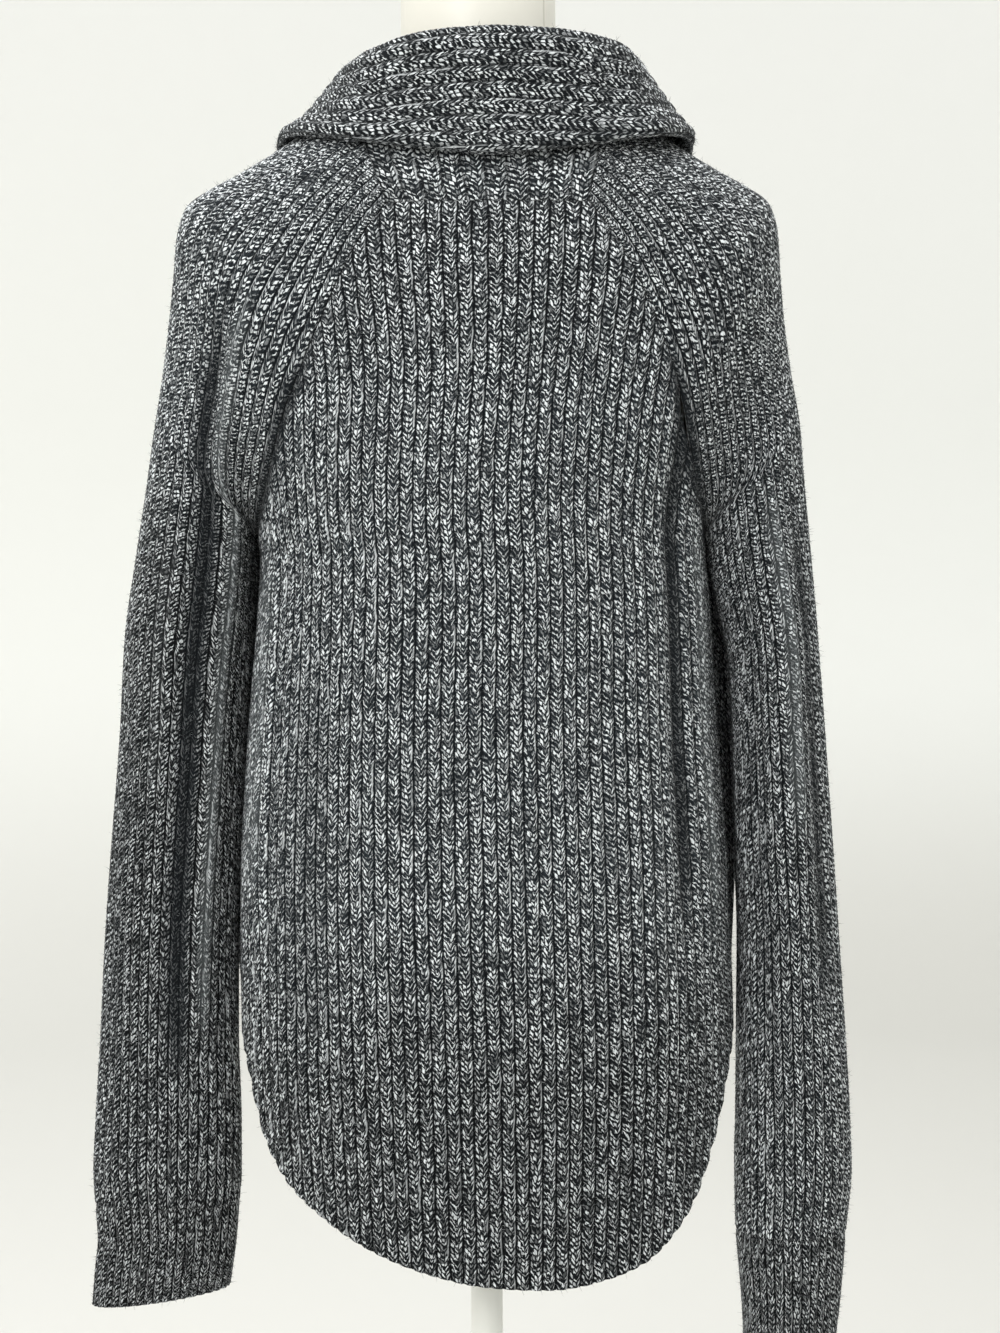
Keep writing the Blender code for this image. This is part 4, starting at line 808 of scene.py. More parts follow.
def body_panel(name, place, share, top, low, table, from_side, fade_across, folds, material):
    """Knitted panel of the body between the heights `top` and `low` of its columns."""
    drop = SLANT * (1.0 - table[:, 3])
    rows = int((YOKE_Z + SLANT - low.min()) / STITCH * 2) + 2
    level = YOKE_Z + drop - STITCH / 2 * np.arange(rows)[:, None]
    z = np.clip(level, low, top)
    stitch = (YOKE_Z + drop - z) / STITCH
    share = np.broadcast_to(share, z.shape)
    points = place(share, z)
    out = surface_out(place, share, z, np.array((-3.0, 0.0, 0.0)))
    points = points + out * drape(folds, share, z)[..., None]
    fade = np.minimum(fade_across, near_seam(top - z))
    from_seam = np.where(top < YOKE_Z - 1.0, np.minimum((top - z) * 0.4, from_side), 99.0)
    outer = points + out * relief(table, stitch, fade)[..., None]
    under = under_rows(rows)
    inner = inner_side(points, out, table)[under]
    # lie carries the folds and the painted shade along the seams, for the finish to paint.
    lie = drape(folds, share, z) + seam_painted_shade(from_seam, z)
    thing = knit_shell(name, outer, inner, table[:, 0], stitch, under, material, lie=lie)
    print(name, outer.shape[:2], "grid,", len(thing.data.polygons), "faces")
    return thing


def make_back(material):
    table = rib_columns(2 * RIBS_HALF_BACK, mirrored=True)
    share = table[:, 0] / RIBS_HALF_BACK - 1.0
    top = np.interp(-np.abs(share), -TOP_SHARES, TOP_HEIGHTS)
    from_side = (1.0 - np.abs(share)) * 210.0
    return body_panel("back_panel", back_place, share, top, hem_height(share), table, from_side,
                      near_seam(from_side), FOLDS_BACK, material)


# %% [markdown]
# ## The fronts
# Each front is half as wide as the back, with the collar's band on its straight edge. Nothing
# closes it, so it hangs open.

# %% The two fronts
def make_front(name, side, material):
    table = rib_columns(RIBS_FRONT, mirrored=side < 0)
    share = table[:, 0] / RIBS_FRONT
    heights = np.linspace(ARMPIT_Z, YOKE_Z, 240)
    whole = front_line(ARMPIT_Z, side)[3]
    cut = []
    for z in heights:
        length, x, _, stop = front_line(z, side)
        seam = np.interp(-float(curve(RAGLAN["z"], RAGLAN["half"], z)), -x, length)
        cut.append(1.0 - (stop - seam) / whole)
    cut[-1] = 1.0
    top = np.interp(share, cut, heights)
    low_side = float(hem_height(np.array(float(side))))
    low = low_side + (FRONT_HEM_Z - low_side) * ease(share * 1.2)
    fade = near_seam(np.minimum(share, 1.0 - share) * 150.0)
    return body_panel(name, lambda f, z: front_place(side, f, z), share, top, low, table,
                      share * 150.0, fade, FOLDS_FRONT, material)


# %% [markdown]
# ## The sleeves and cuffs
# A sleeve's ribs run from the neck to the wrist. Above the armpit its two sides are seams, below
# it they meet, and the shell becomes a tube.

# %% Sleeves and cuffs
def sleeve_points(side, columns, runs, folds):
    """Points and outward directions at one run for every row of every column."""
    lines = np.arange(0.0, RUNS[side][0][-1] + 2.0, 2.0)
    lines = np.minimum(lines, RUNS[side][0][-1])
    dense = sleeve_rows(side, lines, columns)
    tube = lines >= RUNS[side][0][PIT]
    around = np.gradient(dense, axis=1)
    around[tube, 0] = dense[tube, 1] - dense[tube, -2]
    around[tube, -1] = around[tube, 0]
    along = np.gradient(dense, axis=0)
    out = unit(np.cross(around, along)) * side
    dense = dense + out * drape(folds, columns[None, :], dense[..., 2])[..., None]
    points = np.empty(runs.shape + (3,))
    turned = np.empty_like(points)
    for j in range(len(columns)):
        points[:, j] = columns_at(runs[:, j], lines, dense[:, j])
        turned[:, j] = columns_at(runs[:, j], lines, out[:, j])
    closed = runs[:, 0] >= RUNS[side][0][PIT]
    points[closed, -1] = points[closed, 0]
    turned[closed, -1] = turned[closed, 0]
    return points, unit(turned), closed


def arm_tube(name, side, start, stop, material):
    """Part of a sleeve between two runs, as a knitted shell."""
    table = rib_columns(RIBS_SLEEVE)
    share = table[:, 0] / RIBS_SLEEVE
    drop = SLANT * (table[:, 3] - 1.0)
    rows = int((stop - start + SLANT) / STITCH * 2) + 2
    runs = np.clip(start + drop + STITCH / 2 * np.arange(rows)[:, None], start, stop)
    stitch = (runs - drop) / STITCH
    folds = FOLDS_LEFT if side > 0 else FOLDS_RIGHT
    points, out, closed = sleeve_points(side, share, runs, folds)
    edge = np.minimum(share, 1.0 - share) * 280.0
    fade = np.where(closed[:, None], near_seam(edge, 0.6), near_seam(edge))
    fade = np.minimum(fade, near_seam(runs - start + 3.0, 0.4))
    outer = points + out * relief(table, stitch, fade)[..., None]
    first = int(np.argmax(closed))
    under = np.unique(np.concatenate((np.arange(0, rows, 12), [first, rows - 1])))
    inner = inner_side(points, out, table)[under]
    open_rows = int(np.sum(under <= first)) if first else 0
    # lie carries the folds and the painted shade along the seams, for the finish to paint.
    lie = drape(folds, share[None, :], points[..., 2]) + seam_painted_shade(edge, points[..., 2])
    thing = knit_shell(name, outer, inner, table[:, 0], stitch, under, material, open_rows, lie)
    print(name, outer.shape[:2], "grid,", len(thing.data.polygons), "faces")
    return thing


def make_sleeve(name, side, material):
    cuff = RUNS[side][0][PIT + 1 + CUFF_ROW]
    return arm_tube(name, side, 0.0, cuff - SEAM_GAP / 2, material)


def make_cuff(name, side, material):
    table = RUNS[side][0]
    return arm_tube(name, side, table[PIT + 1 + CUFF_ROW] + SEAM_GAP / 2, table[-1], material)


# %% [markdown]
# ## The back-neck strip
# Between the top of the back and the collar a small strip is let in. Its ribs are wider, since
# it is stretched across the shoulders.

# %% The back-neck strip
def neck_arc(side, angle):
    """Neck end of a sleeve by its angle (0 at the back seam, a half turn at the front seam)."""
    centre, away, depth, _ = row_shape(side, np.array(0.0))
    return centre + np.outer(np.sin(angle), away) + np.outer(np.cos(angle), depth)


def arc_angle(side, z):
    """Angle of the neck end where it passes height z behind the shoulder."""
    grid = np.linspace(0.0, math.pi / 2, 400)
    return np.interp(z, neck_arc(side, grid)[:, 2], grid)


def strip_place(share, z):
    """Back-neck strip at one height: share -1..1 across."""
    ends = {side: neck_arc(side, np.array([arc_angle(side, z)]))[0] for side in (1, -1)}
    middle = (ends[1][0] + ends[-1][0]) / 2
    span = (ends[1][0] - ends[-1][0]) / 2
    deep = float(curve(STRIP["z"], STRIP["back"], z))
    side_y = (ends[1][1] + ends[-1][1]) / 2
    half = span / math.sqrt(1.0 - (side_y / deep) ** 2)
    x = span * share
    row = join(middle + x, deep * np.sqrt(1.0 - (x / half) ** 2), z + 0.0 * x)
    for side in (1, -1):
        column = share * side > 0
        lift = ends[side] - np.array((middle + side * span, side_y, z))
        row[column] += np.outer(np.abs(share[column]), lift)
    return row


def make_strip(material):
    table = rib_columns(RIBS_YOKE, mirrored=True)
    share = table[:, 0] / (RIBS_YOKE / 2) - 1.0
    levels = np.linspace(YOKE_Z + 0.2, NECK_Z, 34)
    dense = np.array([strip_place(share, z) for z in levels])
    out = unit(np.cross(np.gradient(dense, axis=1), np.gradient(dense, axis=0)))
    out *= np.where(out[..., 1:2] < 0, -1.0, 1.0)
    drop = SLANT * (1.0 - table[:, 3])
    rows = int((NECK_Z - YOKE_Z + SLANT) / STITCH * 2) + 2
    z = np.clip(NECK_Z + drop - STITCH / 2 * np.arange(rows)[:, None], levels[0], NECK_Z)
    stitch = (NECK_Z + drop - z) / STITCH
    points = np.empty(z.shape + (3,))
    turned = np.empty_like(points)
    for j in range(len(share)):
        points[:, j] = columns_at(z[:, j], levels, dense[:, j])
        turned[:, j] = columns_at(z[:, j], levels, out[:, j])
    turned = unit(turned)
    fade = np.minimum(near_seam((1.0 - np.abs(share)) * 85.0), near_seam(z - YOKE_Z, 0.5))
    outer = points + turned * relief(table, stitch, fade)[..., None]
    under = under_rows(rows)
    inner = inner_side(points, turned, table)[under]
    return knit_shell("neck_strip", outer, inner, table[:, 0], stitch, under, material)


# Painted shade by height on each piece: the body darker low down and near the shoulders, the
# sleeves darker low down, the left one more, the cuffs darkest, the strip and collar a little
# darker.
BODY_PAINTED_SHADE = ((0.56, 0.72, 0.55, 1.0), (1.00, 1.09, 1.0, 0.76))
TONE = {"back": BODY_PAINTED_SHADE, "front_left": BODY_PAINTED_SHADE, "front_right": BODY_PAINTED_SHADE,
        "sleeve_left": ((0.88, 1.05, 0.50, 0.96),), "sleeve_right": ((0.88, 1.05, 0.74, 0.82),),
        "cuff_left": ((0.40, 0.50, 0.32, 0.36),), "cuff_right": ((0.40, 0.50, 0.46, 0.52),),
        "back_neck_strip": ((1.1, 1.2, 0.80, 0.84),), "collar": ((1.0, 1.2, 0.80, 0.66),)}
# How light the yarn stays in the valleys between ribs: painted shade, darkest on sleeves and cuffs.
VALLEY = {"collar": 0.30, "back_neck_strip": 0.30, "sleeve_left": -0.26,
          "sleeve_right": -0.22, "cuff_left": -0.26, "cuff_right": -0.22}
KNIT = {}
for k, name in enumerate(TONE, 1):
    fine = name in ("collar", "back_neck_strip")
    KNIT[name] = marled_knit(name + "_knit", 17.0 * k, TONE[name], name.startswith("back"),
                             4.4 if fine else PLIES, VALLEY.get(name, -0.08))
back = make_back(KNIT["back"])
front_left = make_front("front_left_panel", 1, KNIT["front_left"])
front_right = make_front("front_right_panel", -1, KNIT["front_right"])
sleeve_left = make_sleeve("sleeve_left_tube", 1, KNIT["sleeve_left"])
sleeve_right = make_sleeve("sleeve_right_tube", -1, KNIT["sleeve_right"])
cuff_left = make_cuff("cuff_left_rib", 1, KNIT["cuff_left"])
cuff_right = make_cuff("cuff_right_rib", -1, KNIT["cuff_right"])
strip = make_strip(KNIT["back_neck_strip"])

# %% [markdown]
# ## The shawl collar
# The collar and both front bands are one long strip, sewn to the neck and to the front edges. It
# stands up from its seam, folds over and falls outside, and down the fronts the fold runs out
# into a flat band. Its section is drawn again at every row: from the free edge over the crease
# of the fall to the fold, and down to the seam. The ribs run along the strip, so columns are
# counted from the fold, and the V of each stitch points along the collar.

# %% The collar's lines
FALL_SHARE = 0.60         # share of the collar's width that falls outside the fold
LIFT = 6.2                # the fall lies this far out from the cloth under it
FRONT_LIFT = 2.6          # and this much more over the fronts
FRONT_FROM = 3.6          # from this station on
FRONT_LONG = 1.4
LIFT_FADE = 12.0          # the lift dies out over this width towards the fold
LIFT_REACH = ((12, 6), (8, 4), (4, 2), (2, 1))   # rows and columns that each round evens out
LIFT_DEPTH = 25.0         # cloth found deeper than this is on the far side
LIFT_BESIDE = 4.0         # and further to the side than this it isn't under the fall
FOLD_LEAN = 10.0          # the fold stands further out on the right
EDGE_LEAN = 8.0           # and so does the free edge over the shoulder
COLLAR_SHIFT = 7.0        # and the whole collar has slipped this far to the right
FOLD_DROP = 6.0           # the fold sinks on the left shoulder
FOLD_ROUND = 10.0
COLLAR_GAP = 0.45
FOOT_OUT = 1.8            # the stand leaves its seam this far off the cloth
FOOT_UP = 7.0             # and this far up it
BREAK_FROM = 6.6          # station where the fall starts to open into the flat band
BREAK_LONG = 1.5
BREAK_RISE = 16.0
FALL_RIBS = 10            # ribs between the free edge and the fold, at the widest
STAND_RIBS = 7            # and from the fold to the seam
COLLAR_STITCH = 3.9
ROLL_THICK = 2.4          # the free edge rolls into a rim this much thicker on each side
ROLL_AT = 4.0             # and is thickest this far in from the edge
ROLL_END = 9.0            # station where the rim has died out
ROLL_FADE = 2.0


def seam_frame(side, z, front):
    """Outward direction that the two pieces at a raglan seam share."""
    z = np.asarray(z, float)
    turn = side * (-1.0 if front else 1.0)
    low = seam_point(side, np.maximum(z - 1.0, ARMPIT_Z), front)
    high = seam_point(side, np.minimum(z + 1.0, YOKE_Z), front)
    along = unit(high - low)
    half, _, back, ahead = ring(z)
    angle = raglan_angle(z)
    depth = -ahead if front else back
    body_in = unit(join(-side * half * np.sin(angle), depth * np.cos(angle), 0.0 * z))
    _, away, deep, start = row_shape(side, row_of_seam(z))
    turned = np.asarray(start)[..., None]
    arm_in = unit(away * np.cos(turned) + deep * np.sin(turned) * (1.0 if front else -1.0))
    body_in = unit(body_in - along * np.sum(body_in * along, -1, keepdims=True))
    arm_in = unit(arm_in - along * np.sum(arm_in * along, -1, keepdims=True))
    body_out = np.cross(body_in, along) * turn
    arm_out = np.cross(along, arm_in) * turn
    return unit(body_out + arm_out + body_in + arm_in)


def neck_frame(side, angle):
    """Neck end of a sleeve: point, outward direction and the way off the cloth."""
    point = neck_arc(side, angle)
    along = unit(neck_arc(side, angle + 0.01) - neck_arc(side, angle - 0.01))
    centre, away, depth, _ = row_shape(side, np.array(3.0))
    later = centre + np.outer(np.sin(angle), away) + np.outer(np.cos(angle), depth)
    arm_in = later - point
    arm_in = unit(arm_in - along * np.sum(arm_in * along, -1, keepdims=True))
    arm_out = np.cross(along, arm_in) * side
    strip_in = join(-side + 0.0 * angle, 0.25 * np.cos(angle), 0.15 * np.sin(angle))
    strip_in = unit(strip_in - along * np.sum(strip_in * along, -1, keepdims=True))
    strip_out = np.cross(strip_in, along) * side
    behind = ease((arc_angle(side, NECK_Z) + 0.15 - angle) / 0.3)[..., None]
    out = unit(arm_out + strip_out * behind)
    into = unit(np.cross(out, along))
    into *= np.where(np.sum(into * arm_in, -1, keepdims=True) > 0.0, -1.0, 1.0)
    return point, out, into


def front_rim(side, z):
    """Front edge at heights z: points, outward directions and the way towards the centre."""
    point = front_place(side, 1.0, z)
    across = point - front_place(side, 0.98, z)
    out = unit(np.cross(across, np.array((0.0, 0.0, 1.0))))
    return point, out * np.where(out[..., 1:2] < 0.0, 1.0, -1.0), unit(across)


def neckline(side):
    """Edge that the collar is sewn to, from the centre back to the front hem."""
    share = np.linspace(0.0, 1.0, 16)
    top = strip_place(share * side, NECK_Z)
    start = float(arc_angle(side, NECK_Z))
    angle = np.linspace(start, math.pi, 30)[1:]
    arc, arc_out, arc_off = neck_frame(side, angle)
    edge, edge_out, edge_off = front_rim(side, np.linspace(YOKE_Z, FRONT_HEM_Z, 9)[1:])
    end_out = neck_frame(side, np.array([start]))[1]
    weight = share[:, None] ** 2
    top_out = unit(np.array((0.0, 0.92, 0.39)) * (1 - weight) + end_out * weight)
    top_off = unit(np.array((0.0, -0.39, 0.92)) * (1 - weight) + arc_off[0] * weight)
    arc_out[-1] = seam_frame(side, YOKE_Z, True)
    arc_off[-1] = unit(arc_off[-1] + edge_off[0])
    points = np.concatenate((top, arc, edge))
    out = np.concatenate((top_out, arc_out, edge_out))
    off = np.concatenate((top_off, arc_off, edge_off))
    length = np.concatenate(([0.0], np.cumsum(np.linalg.norm(np.diff(points, axis=0), axis=1))))
    round_neck = np.concatenate(([start], angle))
    knots = np.concatenate(((0.0, np.interp(0.55, share, length[:16]), length[15],
                             np.interp(math.pi / 2, round_neck, length[15:45]),
                             np.interp(2.45, round_neck, length[15:45])), length[44:]))
    return points, out, off, length, knots


def collar_lines(side, station):
    """Fold, crease of the fall and free edge of the collar at a station."""
    last = len(COLLAR["fold_x"]) - 1
    lines = []
    for key in ("fold", "lip", "edge"):
        x, y, z = [float(curve(np.arange(last + 1), COLLAR[key + "_" + axis], min(station, last)))
                   for axis in "xyz"]
        lines.append(np.array((side * x, y, z)))
    slip = float(ease((4.6 - station) / 2.6))
    lean = FOLD_LEAN * slip * float(ease(0.5 - 0.5 * side * station / 1.3))
    for line in lines:
        line[0] -= COLLAR_SHIFT * slip
    lines[0][0] -= lean
    lines[1][0] -= lean
    lines[2][0] -= lean * EDGE_LEAN / FOLD_LEAN
    if side > 0:
        lines[0][2] -= FOLD_DROP * float(ease((station - 0.6) / 1.8) * ease((4.6 - station) / 1.4))
    return lines


def soft_line(path, top, round_by):
    """Rounded line through a few points: its length, points and where it passes the top."""
    run = np.concatenate(([0.0], np.cumsum(np.linalg.norm(np.diff(path, axis=0), axis=1))))
    fine = np.linspace(0.0, run[-1], 241)
    line = columns_at(fine, run, path)
    reach = max(1, int(round_by / fine[1]))
    soft = line.copy()
    for _ in range(3):
        padded = np.concatenate((2 * soft[0] - soft[reach:0:-1], soft,
                                 2 * soft[-1] - soft[-2:-reach - 2:-1]))
        total = np.cumsum(np.concatenate((np.zeros((1, 3)), padded)), axis=0)
        soft = (total[2 * reach + 1:] - total[:-2 * reach - 1]) / (2 * reach + 1)
    soft[0] = line[0]
    soft[-1] = line[-1]
    run = np.concatenate(([0.0], np.cumsum(np.linalg.norm(np.diff(soft, axis=0), axis=1))))
    return run, soft, run[int(np.argmin(np.linalg.norm(soft - top, axis=1)))]


def collar_half(side, stations, steps):
    """Collar cloth of one half: rows at stations, columns at `steps` mm from the fold."""
    points, out, off, length, knots = neckline(side)
    grid = np.empty((len(stations), len(steps), 3))
    at = np.empty((len(stations), len(steps)))
    ends = np.empty((len(stations), 2))
    for i, station in enumerate(stations):
        sew_at = np.interp(station, np.arange(len(knots)), knots)
        sew = columns_at(sew_at, length, points)
        sewn = unit(columns_at(sew_at, length, out))
        leaving = unit(columns_at(sew_at, length, off))
        root = sew - sewn * WALL + leaving * COLLAR_GAP
        half, shift, _, ahead = [float(v) for v in ring(sew[2])]
        flat = np.array((shift + side * BAND_EDGE_X,
                         -ahead * math.sqrt(1.0 - (BAND_EDGE_X / half) ** 2), sew[2]))
        flat = flat - sewn * WALL
        fold, lip, edge = collar_lines(side, station)
        lay = float(ease((station - BREAK_FROM) / BREAK_LONG))
        rise = unit(fold - sew)
        outside = unit(sewn - rise * float(np.dot(sewn, rise)))
        tall = FOLD_ROUND * (1 - lay)
        foot = sew + leaving * (WALL + FOOT_OUT) + rise * FOOT_UP
        foot = foot * (1 - lay) + (root * 0.88 + flat * 0.12) * lay
        top = fold * (1 - lay) + (flat * 0.94 + root * 0.06) * lay
        turn = BREAK_RISE * math.sin(math.pi * lay) * sewn
        lip = top + (lip - fold) * (1 - lay) + (flat - top) * lay * 0.5 + turn
        edge = top + (edge - fold) * (1 - lay) + (flat - top) * lay + turn
        path = [edge, lip, top + outside * tall, top - outside * tall * 0.4, foot, root]
        run, soft, tip = soft_line(np.array(path), top, 5.0 * (1 - lay) + 1.0)
        at[i] = np.clip(tip + steps, 0.0, run[-1])
        grid[i] = columns_at(at[i], run, soft)
        ends[i] = (run[-1], station)
    return grid, at, ends


def evened(field, *reaches):
    """Running average of a grid over so many rows and then columns each way."""
    for axis, reach in enumerate(reaches):
        index = np.arange(field.shape[axis])
        total = 0.0
        for step in range(-reach, reach + 1):
            total = total + np.take(field, np.clip(index + step, 0, len(index) - 1), axis)
        field = total / (2 * reach + 1)
    return field


def clear_of(grid, at, ends, under):
    """Lift the fall of the collar clear of the cloth that it lies on, softly."""
    for rows, columns in LIFT_REACH:
        push = np.zeros_like(grid)
        for i in range(len(grid)):
            fall = FALL_SHARE * ends[i, 0]
            lift = LIFT + FRONT_LIFT * float(ease((ends[i, 1] - FRONT_FROM) / FRONT_LONG))
            for j in np.flatnonzero(at[i] <= fall):
                place, normal, _, _ = under.find_nearest(Vector(grid[i, j]))
                normal = np.array(normal)
                gap = grid[i, j] - np.array(place)
                away = float(np.dot(gap, normal))
                beside = float(np.linalg.norm(gap - away * normal))
                if -LIFT_DEPTH < away < lift and beside < LIFT_BESIDE:
                    push[i, j] = normal * (lift - away) * float(ease((fall - at[i, j]) / LIFT_FADE))
        grid += evened(push, rows, columns)


def even_stations(pitch):
    """Stations of one half at even distances along the crease of the fall."""
    rough = np.linspace(0.0, 13.0, 131)
    line = collar_half(1, rough, np.array((-45.0, 30.0)))[0].mean(axis=1)
    run = np.concatenate(([0.0], np.cumsum(np.linalg.norm(np.diff(line, axis=0), axis=1))))
    return np.interp(np.linspace(0.0, run[-1], int(run[-1] / pitch)), run, rough)


# %% [markdown]
# The rows stand square to the strip, and the V of a stitch needs them pulled along the ribs by a
# different amount on each column. So the strip is drawn with straight rows first, and then every
# column is read again a little further on or back.

# %% The collar
def make_collar(material, under):
    table = rib_columns(FALL_RIBS + STAND_RIBS)
    steps = (table[:, 0] - FALL_RIBS) * RIB_COLLAR
    stations = even_stations(COLLAR_STITCH / 2)
    halves = {side: collar_half(side, stations, steps) for side in (1, -1)}
    grid, at, ends = [np.concatenate((right[:0:-1], left))
                      for right, left in zip(halves[-1], halves[1])]
    clear_of(grid, at, ends, under)
    along = unit(np.gradient(grid, axis=0))
    rows = len(grid)
    out = np.empty_like(grid)
    for i in range(rows):
        inside = (at[i] > 0.0) & (at[i] < ends[i, 0])
        first = max(int(np.argmax(inside)) - 1, 0)
        last = min(len(steps) - int(np.argmax(inside[::-1])), len(steps) - 1)
        across = np.gradient(grid[i, first:last + 1], axis=0)
        out[i, first:last + 1] = np.cross(across, along[i, first:last + 1])
        out[i, :first] = out[i, first]
        out[i, last + 1:] = out[i, last]
    out = unit(out)
    count = np.arange(rows, dtype=float)
    drop = (1.0 - table[:, 3]) * SLANT / (COLLAR_STITCH / 2)
    where = np.clip(count[:, None] - drop, 0.0, rows - 1.0)
    stitch = (where + drop) / 2
    moved = np.empty_like(grid)
    turned = np.empty_like(grid)
    reach = np.empty(at.shape)
    rim = np.empty(at.shape)
    for j in range(len(steps)):
        moved[:, j] = columns_at(where[:, j], count, grid[:, j])
        turned[:, j] = columns_at(where[:, j], count, out[:, j])
        from_edge = np.minimum(at[:, j], ends[:, 0] - at[:, j])
        reach[:, j] = np.interp(where[:, j], count, from_edge)
        rim[:, j] = np.interp(where[:, j], count, at[:, j]) / ROLL_AT
    turned = unit(turned)
    fade = near_seam(reach, 0.4)
    before_hem = ROLL_END - np.interp(where, count, ends[:, 1])
    rim = ROLL_THICK * rim * np.exp(1.0 - rim) * ease(before_hem / ROLL_FADE)
    outer = moved + turned * (relief(table, stitch, fade) + rim)[..., None]
    back_table = table.copy()
    back_table[:, 1] = 1.0 - back_table[:, 1]
    behind = WALL + 0.7 * rim + relief(back_table, stitch, fade * 0.7, 1.2)
    inner = moved - turned * behind[..., None]
    under_row = under_rows(rows, 2)
    thing = knit_shell("shawl_collar", outer, inner[under_row], table[:, 0], stitch, under_row,
                       material)
    print("shawl_collar", outer.shape[:2], "grid,", len(thing.data.polygons), "faces")
    return thing


def cloth_tree(pieces):
    """Search tree over finished pieces, in millimetres."""
    points = []
    faces = []
    for piece in pieces:
        base = len(points)
        mesh = piece.data
        points.extend(v.co / MM for v in mesh.vertices)
        faces.extend([base + v for v in face.vertices] for face in mesh.polygons)
    return BVHTree.FromPolygons(points, faces)


collar = make_collar(KNIT["collar"], cloth_tree((front_left, front_right, sleeve_left,
                                                 sleeve_right, strip, back)))

# %% [markdown]
# ## Fuzz
# Woollen yarn is hairy: loose fibres stand a few millimetres off the cloth and soften every
# outline. They are too fine and too many to knit, so each is one closed spike of three sides,
# rooted at a random place on the outer side and leaning along the cloth. Each piece has its own.

# %% Loose fibres
FIBRE_ROOT = 0.15         # half the thickness of a fibre at its root
FIBRE_LONG = (1.2, 5.5)   # shortest and longest
FIBRE_FACE = 7.5          # the outer side's faces are smaller than this many square mm
FIBRE_LEAN = 0.75         # how far fibres lean over


def fuzz_finish(name):
    """Loose wool, light and dark fibres mixed."""
    n = Nodes(name)
    x, y, z = n.here()
    clump = n.noise(x * 260.0 + y * 190.0, z * 260.0, 1.0, detail=2.0)
    shade = clump.ramp(-0.35, 0.45)
    colour = n.mix(shade, (0.030, 0.037, 0.043, 1.0), (0.38, 0.40, 0.41, 1.0))
    n.feed(Base_Color=colour, Roughness=0.95, Specular_IOR_Level=0.1)
    return n.material


def add_fuzz(piece, count, seed):
    """Fibres on the outer side of a knitted shell, as one object of closed spikes."""
    mesh = piece.data
    faces = len(mesh.polygons)
    centre = np.empty(faces * 3)
    normal = np.empty(faces * 3)
    area = np.empty(faces)
    mesh.polygons.foreach_get("center", centre)
    mesh.polygons.foreach_get("normal", normal)
    mesh.polygons.foreach_get("area", area)
    centre = centre.reshape(-1, 3) / MM
    normal = normal.reshape(-1, 3)
    fine = np.flatnonzero(area < FIBRE_FACE * MM * MM)
    dice = np.random.default_rng(seed)
    chosen = dice.choice(fine, count)
    root = centre[chosen]
    lean = dice.normal(0.0, FIBRE_LEAN, (count, 3))
    way = unit(normal[chosen] + lean)
    way = np.where(np.sum(way * normal[chosen], -1, keepdims=True) < 0.0, -way, way)
    side = unit(np.cross(way, dice.normal(0.0, 1.0, (count, 3))))
    other = np.cross(way, side)
    low, high = FIBRE_LONG
    length = low + (high - low) * dice.random((count, 1)) ** 2
    corner = []
    for k in range(3):
        turn = 2 * math.pi * k / 3
        corner.append(root + FIBRE_ROOT * (side * math.cos(turn) + other * math.sin(turn)))
    tip = root + way * length
    points = np.stack(corner + [tip], axis=1).reshape(-1, 3)
    first = 4 * np.arange(count)[:, None]
    sides = np.array(((0, 2, 1), (0, 1, 3), (1, 2, 3), (2, 0, 3)))
    tris = (first[:, None, :] + sides[None]).reshape(-1, 3)
    fuzz = bpy.data.meshes.new(piece.name + "_fuzz")
    fuzz.vertices.add(len(points))
    fuzz.vertices.foreach_set("co", (points * MM).astype(np.float32).ravel())
    fuzz.loops.add(tris.size)
    fuzz.loops.foreach_set("vertex_index", tris.astype(np.int32).ravel())
    fuzz.polygons.add(len(tris))
    fuzz.polygons.foreach_set("loop_start", np.arange(0, tris.size, 3, dtype=np.int32))
    fuzz.update(calc_edges=True)
    fuzz.materials.append(fuzz_finish(piece.name + "_fibres"))
    thing = bpy.data.objects.new(fuzz.name, fuzz)
    bpy.context.scene.collection.objects.link(thing)
    return thing


FUZZ = {}
for k, (piece, count) in enumerate(((back, 15000), (front_left, 3000), (front_right, 3000),
                                    (sleeve_left, 12000), (sleeve_right, 12000),
                                    (cuff_left, 1500), (cuff_right, 1600), (strip, 500),
                                    (collar, 9000))):
    FUZZ[piece.name] = add_fuzz(piece, count, 40 + k)
print("fibres:", sum(len(thing.data.polygons) for thing in FUZZ.values()) // 4)

# %% [markdown]
# ## The form, its pole and its plate
# The form is a moulded shell of hips, waist, chest and a plain neck without a head or limbs. Its
# widths and depths at 25 heights are those of the solid, drawn here with four times the sides, so
# that the neck reads as round. Two halves are moulded and joined, which leaves a fine seam line
# down the neck. The pole and the plate are turned shapes with eased rims.

# %% The form and the stand
FORM = {
    "z":     (640, 665, 700, 740, 780, 820, 860, 900, 940, 980, 1010, 1046, 1088, 1120, 1147,
              1160, 1171, 1184, 1200, 1212, 1226, 1242, 1262, 1318, 1322),
    "half":  (142, 145, 143, 134, 122, 116, 118, 126, 134, 141, 147, 160, 174, 179, 177.5,
              171, 161.5, 141.5, 118.1, 99.2, 70, 57, 52.3, 52.3, 49),
    "back":  (97, 100, 97, 90, 82, 80, 86, 96, 104, 109, 110, 109, 104, 96, 88,
              85, 82, 78, 70, 64, 58, 54, 52.5, 52.5, 49),
    "front": (90, 92, 90, 86, 84, 86, 95, 108, 122, 127, 124, 114, 98, 86, 76,
              74, 72, 69, 63, 58, 53, 51, 51, 51, 48),
}
FORM_SIDES = 128
SEAM_TURN = 2.57          # angle of the moulded seam on the neck
FORM_CLEAR = 0.12         # the drawn form stays this much inside the solid's rings
POLE = ((0.0, 14.3), (10.7, 14.3), (10.7, 639.7), (0.0, 639.7))
PLATE = ((0.0, 0.0), (143.0, 0.0), (144.6, 0.9), (145.0, 3.0), (145.0, 11.0), (144.2, 13.0),
         (142.0, 14.0), (24.0, 14.0), (0.0, 14.0))


